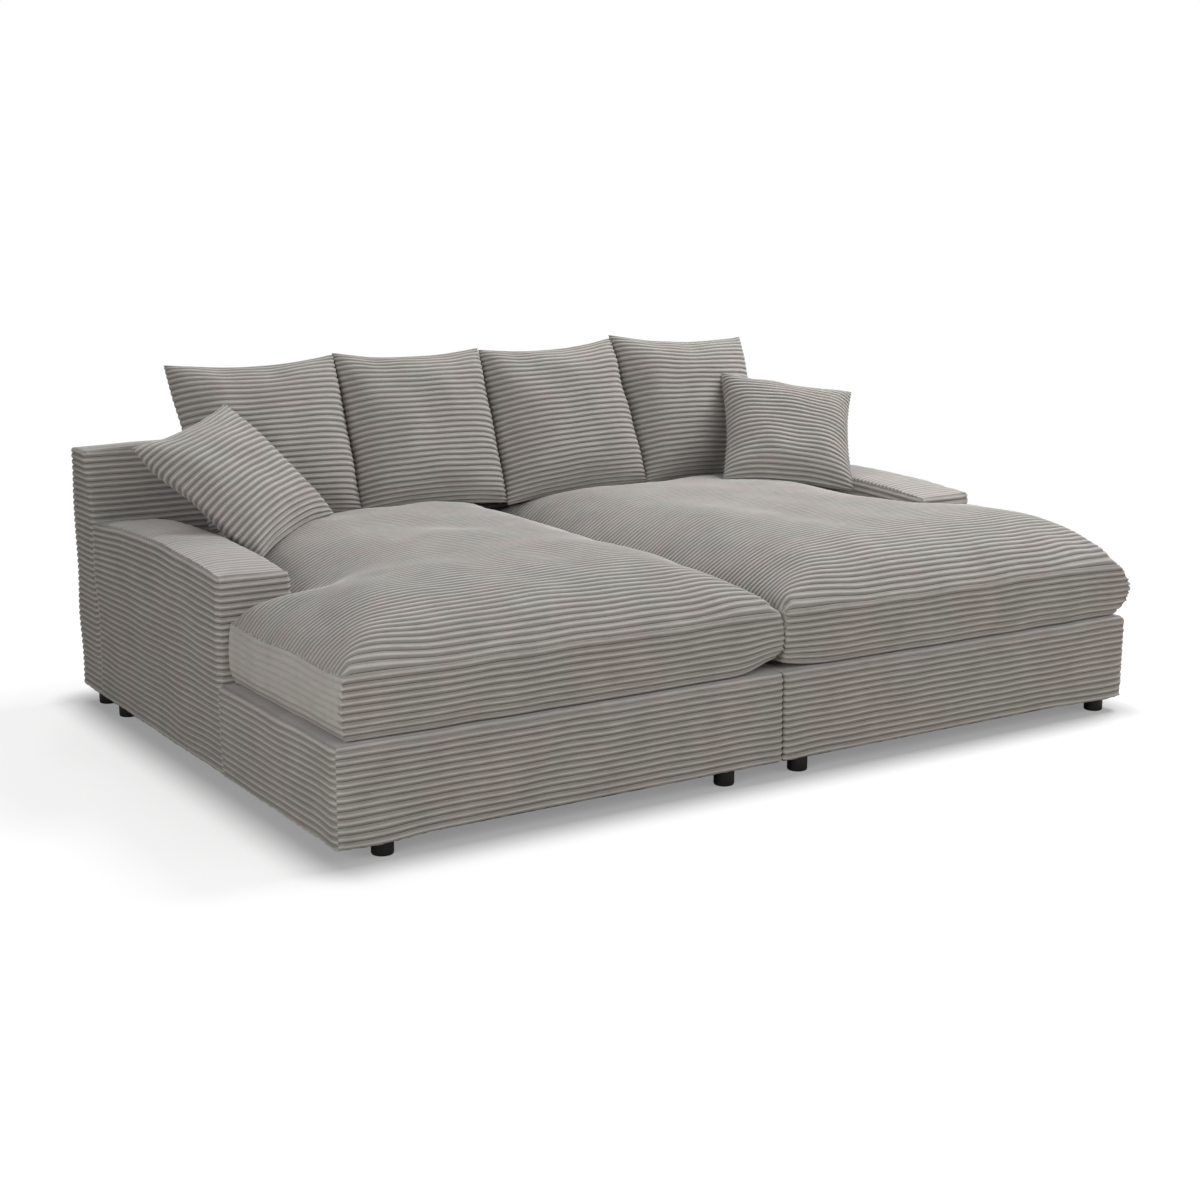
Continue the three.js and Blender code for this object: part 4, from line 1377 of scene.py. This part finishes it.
@dataclass
class PlumpCushion:
    """A loose knife-edged cushion, drawn in between its corners, at the place its CAD solid holds."""

    side: Side
    neighbours: Neighbours
    piece: str
    width: float
    height: float
    thickness: float
    # How far the side, top and bottom seams are drawn in at their middles
    draws: tuple[float, float, float]
    # Degrees that it leans back, rolls and turns
    turn: tuple[float, float, float]
    seed: int = 31
    # How full it is towards its side seams and towards its top and bottom seams, and over all
    plump_edges: tuple[float, float] = (3.0, 3.0)
    plump_power: float = 0.55
    shift: tuple[float, float, float] = (0.0, 0.0, 0.0)
    corners: tuple[tuple[float, float], ...] = ((0, 0), (0, 0), (0, 0), (0, 0))
    fill_cap: float = 12.0
    cells: int = 28

    # Unevenness: distance between two swells, and their height; it is less within this of a seam, and
    # the cloth lies this much lower for it
    UNEVENNESS = (130.0, 2.4)
    SEAM_CALM, SETTLED = 35.0, 1.0
    CLOTH_SLACK = 0.01

    def matrix(self) -> Matrix:
        """From the cushion's own axes in metres to the row frame."""
        lean, roll, yaw = (math.radians(value) for value in self.turn)
        turned = Matrix.Rotation(yaw, 4, "Z") @ Matrix.Rotation(-lean, 4, "X")
        turned = turned @ Matrix.Rotation(-roll, 4, "Y")
        low, high = (Vector(corner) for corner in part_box(f"{self.side.value}_{self.piece}"))
        return Matrix.Translation((low + high) / 2 + Vector(self.shift) * MM) @ turned

    def control(self, face: int) -> np.ndarray:
        """One cloth's control points, from its lower to its upper seam.

        Args:
            face: -1 for the front cloth, 1 for the rear one.

        Returns:
            The grid, rows by columns by 3.
        """
        even = np.sin(np.linspace(-1, 1, self.cells + 1) * math.pi / 2)
        t, s = np.meshgrid(even, even, indexing="ij")
        across_edge, up_edge = self.plump_edges
        side = np.maximum(1 - np.abs(s) ** across_edge, 0) * np.maximum(1 - np.abs(t) ** up_edge, 0)
        side_draw, top_draw, bottom_draw = self.draws
        x = s * (self.width / 2 - side_draw * (1 - t * t))
        z = t * (self.height / 2 - np.where(t > 0, top_draw, bottom_draw) * (1 - s * s))
        y = face * self.thickness / 2 * side**self.plump_power
        shares = (
            (1 - s) * (1 + t) / 4, (1 + s) * (1 + t) / 4, (1 + s) * (1 - t) / 4, (1 - s) * (1 - t) / 4
        )
        for share, (along, up) in zip(shares, self.corners):
            x = x + share * along
            z = z + share * up
        return np.stack([x, y, z], -1)

    def place(self, points: np.ndarray) -> np.ndarray:
        """The cushion's own millimetres in the row frame."""
        matrix = np.array(self.matrix())
        return points * MM @ matrix[:3, :3].T + matrix[:3, 3]

    def faces(self) -> list[np.ndarray]:
        """Blows the two cloths up by their stuffing.

        Returns:
            Control points of the front and of the rear cloth.
        """
        drift = Drift(self.seed, *self.UNEVENNESS)
        grids = [self.control(face) for face in (-1, 1)]
        for face, grid in zip((-1, 1), grids):
            free = smooth_step(np.abs(grid[..., 1]), 0, self.SEAM_CALM)
            grid[..., 1] += face * (drift.at(grid) - self.SETTLED) * free
        rows, columns = grids[0].shape[:2]
        count = rows * columns
        front = np.arange(count).reshape(rows, columns)
        rear = front.copy()
        rear[1:-1, 1:-1] = np.arange((rows - 2) * (columns - 2)).reshape(rows - 2, columns - 2) + count
        points = np.concatenate([grids[0].reshape(-1, 3), grids[1][1:-1, 1:-1].reshape(-1, 3)])
        quads = np.concatenate([quads_of(front).reshape(-1, 4), quads_of(rear).reshape(-1, 4)[:, ::-1]])
        sewn = np.zeros(len(points), bool)
        sewn[np.concatenate([front[0], front[-1], front[:, 0], front[:, -1]])] = True
        moves = AirFill(cap=self.fill_cap, slack=self.CLOTH_SLACK).moves(points, quads, sewn)
        return [points[numbers] + calmed(moves[numbers], passes=2) for numbers in (front, rear)]

    def build(self) -> bpy.types.Object:
        """Makes the cushion as one closed piece.

        Returns:
            The new object.
        """
        skin = Skin(f"{self.side.value}_{self.piece}_cover", self.place, self.neighbours)
        grids = self.faces()
        middle = grids[0].shape[1] // 2
        run, wide = lengths_along(grids[0][:, middle]), lengths_along(grids[0][middle])
        ribs, count = rib_rows(run[-1])
        rows = np.interp(ribs / count * run[-1], run, np.arange(len(run)))
        stations = np.linspace(0, wide[-1], round(wide[-1] / COLUMN_SPACING) + 1)
        columns = np.interp(stations, wide, np.arange(len(wide)))
        for grid in grids:
            skin.add(Sheet(resampled(grid, rows, columns), ribs, 1.0, stations * MM))
        return skin.build()


@dataclass
class Foot:
    """A round moulded foot with its threaded stud."""

    side: Side
    piece: str
    radius: float = 25.5
    height: float = 42.4
    chamfer: float = 4.5
    stud_radius: float = 4.0
    stud_rise: float = 27.5
    sides: int = 48

    def build(self) -> bpy.types.Object:
        """Makes the foot: a cylinder, chamfered below, with its stud drawn out of the top.

        Returns:
            The new object.
        """
        low, high = (Vector(corner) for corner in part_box(f"{self.side.value}_{self.piece}"))
        top = self.height * MM
        centre = ((low.x + high.x) / 2, (low.y + high.y) / 2, top / 2)
        bpy.ops.object.select_all(action="DESELECT")
        bpy.ops.mesh.primitive_cylinder_add(
            vertices=self.sides, radius=self.radius * MM, depth=top, location=centre
        )
        foot = bpy.context.object
        foot.name = f"{self.side.value}_{self.piece}_moulded"
        bpy.ops.object.transform_apply(location=True, rotation=True, scale=True)
        bpy.ops.object.mode_set(mode="EDIT")
        mesh = bmesh.from_edit_mesh(foot.data)
        bpy.ops.mesh.select_all(action="DESELECT")
        for edge in mesh.edges:
            edge.select_set(all(point.co.z < top / 2 for point in edge.verts))
        bpy.ops.mesh.bevel(offset=self.chamfer * MM, segments=2, affect="EDGES")
        bpy.ops.mesh.select_all(action="DESELECT")
        mesh.faces.ensure_lookup_table()
        for face in mesh.faces:
            face.select_set(face.normal.z > 0.9)
        bpy.ops.mesh.inset(thickness=(self.radius - self.stud_radius) * MM)
        bpy.ops.mesh.extrude_region_move(TRANSFORM_OT_translate={"value": (0, 0, self.stud_rise * MM)})
        bpy.ops.object.mode_set(mode="OBJECT")
        bpy.ops.object.shade_smooth_by_angle(angle=math.radians(35))
        foot.data.materials.clear()
        return foot


@dataclass
class Studio:
    """Camera, floor, soft key light from the right, fill and a white surround."""

    camera_place: tuple[float, float, float] = (-2.8263, -4.3989, 1.4116)
    camera_turn: tuple[float, float, float] = (78.0, 0.0, -32.81)
    lens: float = 57.29
    floor_colour: str = "BDBCBB"
    floor_bounce: str = "B9B0A6"
    lamp_colour: str = "FBFDFF"
    surround: float = 0.06
    floor_radius: float = 14.0
    # The floor turns white between these distances from the middle
    white_range: tuple[float, float] = (1.7, 3.4)
    # Round the sofa's half width and half depth the floor's own glow is low, a painted shadow that
    # deepens the lamps' shadow there
    shadow_box: tuple[float, float, float] = (1.16, 0.81, 0.0)
    shadow_range: tuple[float, float] = (0.02, 0.17)
    painted_shadow_glow: float = 0.24
    floor_lift: float = 0.66

    # Name, place, aim, width and height in metres, and power in watts of each soft lamp
    LAMPS = (
        ("key_softbox", (4.0, 0.0, 5.0), (0.0, 0.0, 0.3), (2.6, 2.6), 268.0),
        ("rear_softbox", (0.0, 4.5, 5.0), (0.0, 0.0, 0.3), (3.0, 3.0), 130.0),
        ("front_softbox", (0.0, -5.0, 4.0), (0.0, 0.0, 0.3), (3.0, 3.0), 50.0),
        ("left_fill", (-5.0, -3.0, 1.8), (0.0, 0.0, 0.3), (3.0, 2.0), 92.0),
        ("right_fill", (4.0, -5.0, 2.2), (0.0, 0.0, 0.3), (3.0, 2.0), 58.0),
    )

    def build(self) -> None:
        """Makes the camera, the floor, the lamps and the surround."""
        scene = bpy.context.scene
        data = bpy.data.cameras.new("camera")
        data.lens = self.lens
        data.sensor_width = 36.0
        data.clip_end = 100.0
        camera = bpy.data.objects.new("camera", data)
        camera.location = self.camera_place
        camera.rotation_euler = Euler([math.radians(value) for value in self.camera_turn])
        scene.collection.objects.link(camera)
        scene.camera = camera
        self.add_floor()
        for lamp in self.LAMPS:
            self.add_lamp(*lamp)
        self.add_surround()
        scene.view_settings.view_transform = "Standard"

    def add_floor(self) -> None:
        """A pale floor whose shadow near the sofa is cast by the lamps and deepened by painted shadow,
        and which turns white further off.
        """
        bpy.ops.object.select_all(action="DESELECT")
        bpy.ops.mesh.primitive_circle_add(vertices=96, radius=self.floor_radius, fill_type="NGON")
        floor = bpy.context.object
        floor.name = "studio_floor"
        floor.data.materials.append(self.floor_material())

    def floor_material(self) -> bpy.types.Material:
        """Matt paint that glows for the camera: grey with a soft shadow by the sofa, cast by the lamps
        and deepened by painted shadow where the glow falls off, and as white as the surround far from
        it.

        Returns:
            The material.
        """
        material, tree, shader = fresh_material("studio_floor_with_painted_shadow")
        seen = add_node(tree, "LightPath").outputs["Is Camera Ray"]
        tones = {0: seen, 6: linear(self.floor_bounce), 7: linear(self.floor_colour)}
        colour = add_node(tree, "Mix", tones, data_type="RGBA")
        tree.links.new(colour.outputs[2], shader.inputs["Base Color"])
        shader.inputs["Roughness"].default_value = 0.9
        shader.inputs["Specular IOR Level"].default_value = 0.1
        shader.inputs["Emission Color"].default_value = (1, 1, 1, 1)
        place = add_node(tree, "TexCoord").outputs["Object"]
        away = add_node(tree, "VectorMath", {0: place}, operation="LENGTH").outputs["Value"]
        beyond = add_node(tree, "VectorMath", {0: place}, operation="ABSOLUTE").outputs[0]
        for kind, amount in (("SUBTRACT", self.shadow_box), ("MAXIMUM", (0, 0, 0))):
            beyond = add_node(tree, "VectorMath", {0: beyond, 1: amount}, operation=kind).outputs[0]
        beyond = add_node(tree, "VectorMath", {0: beyond}, operation="LENGTH").outputs["Value"]
        # The camera sees the floor glow less near the sofa, which paints a shadow there
        white, lift = (
            add_node(
                tree,
                "MapRange",
                {0: distance, 1: start, 2: end, 3: low, 4: high},
                interpolation_type="SMOOTHSTEP",
            ).outputs[0]
            for distance, (start, end), low, high in (
                (away, self.white_range, 0.0, 1.0),
                (beyond, self.shadow_range, self.painted_shadow_glow, self.floor_lift),
            )
        )
        white, lift = (
            add_node(tree, "Math", {0: seen, 1: value}, operation="MULTIPLY").outputs[0]
            for value in (white, lift)
        )
        tree.links.new(lift, shader.inputs["Emission Strength"])
        plain = add_node(tree, "Emission", {"Color": (1, 1, 1, 1), "Strength": 1.0}).outputs["Emission"]
        mixed = add_node(tree, "MixShader", {0: white, 1: shader.outputs["BSDF"], 2: plain})
        output = next(node for node in tree.nodes if node.type == "OUTPUT_MATERIAL")
        tree.links.new(mixed.outputs[0], output.inputs["Surface"])
        return material

    @staticmethod
    def add_lamp(name: str, place: tuple, aim: tuple, size: tuple, power: float) -> None:
        """Adds a rectangular soft lamp.

        Args:
            name: The lamp's name.
            place: Where it hangs.
            aim: The point it faces.
            size: Its width and height.
            power: Its power in watts.
        """
        data = bpy.data.lights.new(name, "AREA")
        data.shape = "RECTANGLE"
        data.size, data.size_y = size
        data.energy = power
        data.color = linear(Studio.lamp_colour)[:3]
        lamp = bpy.data.objects.new(name, data)
        lamp.location = place
        lamp.rotation_euler = (Vector(place) - Vector(aim)).to_track_quat("Z", "Y").to_euler()
        bpy.context.scene.collection.objects.link(lamp)

    def add_surround(self) -> None:
        """White where the camera or a reflection sees it, softer as light."""
        world = bpy.data.worlds.new("studio_surround")
        world.use_nodes = True
        bpy.context.scene.world = world
        tree = world.node_tree
        tree.nodes.clear()
        path = add_node(tree, "LightPath").outputs
        rays = {0: path["Is Camera Ray"], 1: path["Is Glossy Ray"]}
        shown = add_node(tree, "Math", rays, operation="MAXIMUM").outputs[0]
        strength = add_node(tree, "MapRange", {0: shown, 1: 0.0, 2: 1.0, 3: self.surround, 4: 1.0})
        light = add_node(tree, "Background", {"Color": (1, 1, 1, 1), "Strength": strength.outputs[0]})
        add_node(tree, "OutputWorld", {"Surface": light.outputs[0]})


class Finishes:
    """Every finish of the sofa, built once."""

    def __init__(self) -> None:
        """Builds the materials."""
        self.corduroy = CorduroyFinish().build()
        # Bare sawn timber: warm and dull, its grain drawn out along the board
        self.timber = PlainFinish(
            "sawn_pine_and_plywood", "C9A676", "B08B5C", 0.7, grain_mm=(4.0, 4.0, 60.0)
        ).build()
        # Woven rubber and polyester strap: flat grey-brown, speckled by its weave
        self.webbing = PlainFinish(
            "woven_elastic_webbing", "55504B", "3B3733", 0.9, grain_mm=(1.5, 1.5, 1.5)
        ).build()
        # Thin bonded fibre cloth: near black and quite without shine
        self.lining = PlainFinish(
            "spunbond_lining_cloth", "232323", "151515", 0.95, grain_mm=(1.2, 1.2, 1.2)
        ).build()
        # Black plastic from a fine-grained mould: a low broad shine on the feet's rims
        self.plastic = PlainFinish(
            "moulded_polypropylene", "191919", "121212", 0.42, grain_mm=(0.8, 0.8, 0.8)
        ).build()
        # Bright plated steel, dulled in patches
        self.steel = PlainFinish(
            "zinc_plated_steel", "B4B5B6", "989A9C", 0.34, 1.0, grain_mm=(5.0, 5.0, 5.0), bump_mm=0.05
        ).build()

    def for_node(self, name: str) -> bpy.types.Material:
        """The finish of a kept CAD node, by its name."""
        kinds = {
            "webbing": self.webbing, "joining_panel": self.lining, "dust_cover": self.lining,
            "bolt": self.steel, "connector": self.steel, "foot": self.plastic,
        }
        return next((finish for key, finish in kinds.items() if key in name), self.timber)


@dataclass
class Module:
    """One half of the sofa: base, arm, back, seat cushion, two back cushions, a pillow and feet."""

    side: Side
    finishes: Finishes
    neighbours: Neighbours

    FEET = ("foot_front_outer", "foot_front_inner", "foot_arm", "foot_back_outer", "foot_back_inner")
    # At the seat's outer and inner end: how far the crown takes to rise, how high the front's foot is
    # lifted and how far the front swells sideways
    SEAT_REACHES = {Side.LEFT: (330.0, 240.0), Side.RIGHT: (140.0, 300.0)}
    SEAT_LIFTS = {Side.LEFT: (0.0, 30.0), Side.RIGHT: (0.0, 14.0)}
    SEAT_BULGES = {Side.LEFT: (8.0, 16.0), Side.RIGHT: (46.0, -3.0)}
    # How far from the arm the crown takes to rise
    ARM_REACHES = {Side.LEFT: 330.0, Side.RIGHT: 170.0}
    CUSHION_WIDTHS = {Side.LEFT: (503.0, 481.0), Side.RIGHT: (494.0, 481.0)}
    CUSHION_SIZE = (486.0, 168.0)
    CUSHION_TURN = (21.0, 0.0, 0.0)
    # How far each corner is pulled along and up, clockwise from the upper left one seen from the front
    CUSHION_CORNERS = {
        Side.LEFT: (((-9, 0), (0, 6), (0, 14), (40, 4)), ((0, 10), (0, 6), (0, 9), (0, 12))),
        Side.RIGHT: (((0, 26), (16, 0), (0, 10), (34, 26)), ((0, 0), (0, 16), (32, 30), (0, 0))),
    }
    PILLOW_CORNERS = {
        Side.LEFT: ((-26, 1), (4, 0), (-14, 1), (6, 0)),
        Side.RIGHT: ((-2, 38), (0, 14), (0, 12), (18, 0)),
    }
    PILLOW_SIZE = (430.0, 430.0, 138.0)
    PILLOW_SHIFTS = {Side.LEFT: (0.0, 0.0, 0.0), Side.RIGHT: (10.0, 0.0, 2.0)}
    PILLOW_TURNS = {Side.LEFT: (46.9, 12.4, 28.2), Side.RIGHT: (50.4, -10.2, -23.7)}

    def name(self, piece: str) -> str:
        """The CAD name of one of this module's pieces."""
        return f"{self.side.value}_{piece}"

    def finish(self, piece: bpy.types.Object, body: str, nodes: Sequence[str], fill: float) -> None:
        """Dresses a padded piece and ties it to its CAD body and nodes.

        Args:
            piece: The piece.
            body: The moving body that it rides on.
            nodes: The CAD nodes that it replaces.
            fill: How full its stuffing is, from 0 to 1; not used.
        """
        piece.data.materials.clear()
        piece.data.materials.append(self.finishes.corduroy)
        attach(piece, self.name(body))
        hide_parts(*(self.name(node) for node in nodes))
        self.neighbours.add(piece)
        LOG.info("dressed %s", piece.name)

    def build(self) -> None:
        """Builds every piece of the module, each after those that it leans on."""
        base = BaseCover(self.side).build()
        self.finish(base, "module", ["front_panel", "side_panel", "deck_pad"], fill=1.0)
        self.add_caps()
        self.add_cushions()
        self.add_feet()

    def add_caps(self) -> None:
        """Builds and dresses the covers of the arm and the back."""
        arm = ArmCover(
            self.side,
            "arm",
            low=(0.0, ARM_FRONT),
            high=(ARM_WIDTH, BACK_FRONT - FIT),
            top=ARM_TOP,
            radii=(22, 34, 40, 20),
            cavity_low=(22.0, 658.0),
            cavity_high=(168.0, 1510.7, 514.0),
            dome=11,
            top_height=0.45,
            seed=41,
        )
        self.finish(arm.build(), "module", ["arm_cover"], fill=1.0)
        back = BackCover(
            self.side,
            "back",
            low=(0.0, BACK_FRONT),
            high=(MODULE_WIDTH, OVERALL_DEPTH),
            top=BACK_TOP,
            radii=(20, 26, 20, 26),
            cavity_low=(22.0, 1600.1),
            cavity_high=(1176.5, 1668.0, 707.0),
            dome=7,
            seed=43,
        )
        self.finish(back.build(), "module", ["back_cover"], fill=1.0)

    def add_cushions(self) -> None:
        """Builds and dresses the seat cushion, the back cushions and the pillow, from below."""
        side = self.side
        seat = SeatCushion(
            side,
            self.neighbours,
            arm_reach=self.ARM_REACHES[side],
            end_reaches=self.SEAT_REACHES[side],
            end_bulges=self.SEAT_BULGES[side],
            end_lifts=self.SEAT_LIFTS[side],
        )
        self.finish(seat.build(), "seat_cushion", ["seat_cushion"], fill=0.9)
        for number, piece in enumerate(("back_cushion_outer", "back_cushion_inner")):
            cushion = PlumpCushion(
                side,
                self.neighbours,
                piece,
                self.CUSHION_WIDTHS[side][number],
                *self.CUSHION_SIZE,
                draws=(0.5, 20, 8),
                turn=self.CUSHION_TURN,
                seed=51 + number,
                plump_edges=(3.4, 3.0),
                corners=self.CUSHION_CORNERS[side][number],
            )
            self.finish(cushion.build(), piece, [piece], fill=0.7)
        pillow = PlumpCushion(
            side,
            self.neighbours,
            "throw_pillow",
            *self.PILLOW_SIZE,
            draws=(18, 18, 18),
            turn=self.PILLOW_TURNS[side],
            seed=61,
            shift=self.PILLOW_SHIFTS[side],
            corners=self.PILLOW_CORNERS[side],
        )
        self.finish(pillow.build(), "throw_pillow", ["throw_pillow"], fill=0.6)

    def add_feet(self) -> None:
        """Builds and dresses the feet."""
        for foot_name in self.FEET:
            foot = Foot(self.side, foot_name).build()
            foot.data.materials.append(self.finishes.plastic)
            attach(foot, self.name("module"))
            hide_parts(self.name(foot_name))
            LOG.info("dressed %s", foot.name)


def dress_kept_nodes(finishes: Finishes) -> None:
    """Gives every CAD node that stays its own finish."""
    for name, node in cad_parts.items():
        if node.hide_render:
            continue
        finish = finishes.for_node(name)
        if not node.material_slots:
            node.data.materials.append(finish)
        for slot in node.material_slots:
            slot.material = finish


def main() -> None:
    """Builds the sofa's pieces in order, then the studio."""
    logging.basicConfig(level=logging.INFO, format="%(name)s: %(message)s")
    finishes, neighbours = Finishes(), Neighbours()
    for side in Side:
        Module(side, finishes, neighbours).build()
    dress_kept_nodes(finishes)
    Studio().build()


if __name__ == "__main__":
    main()
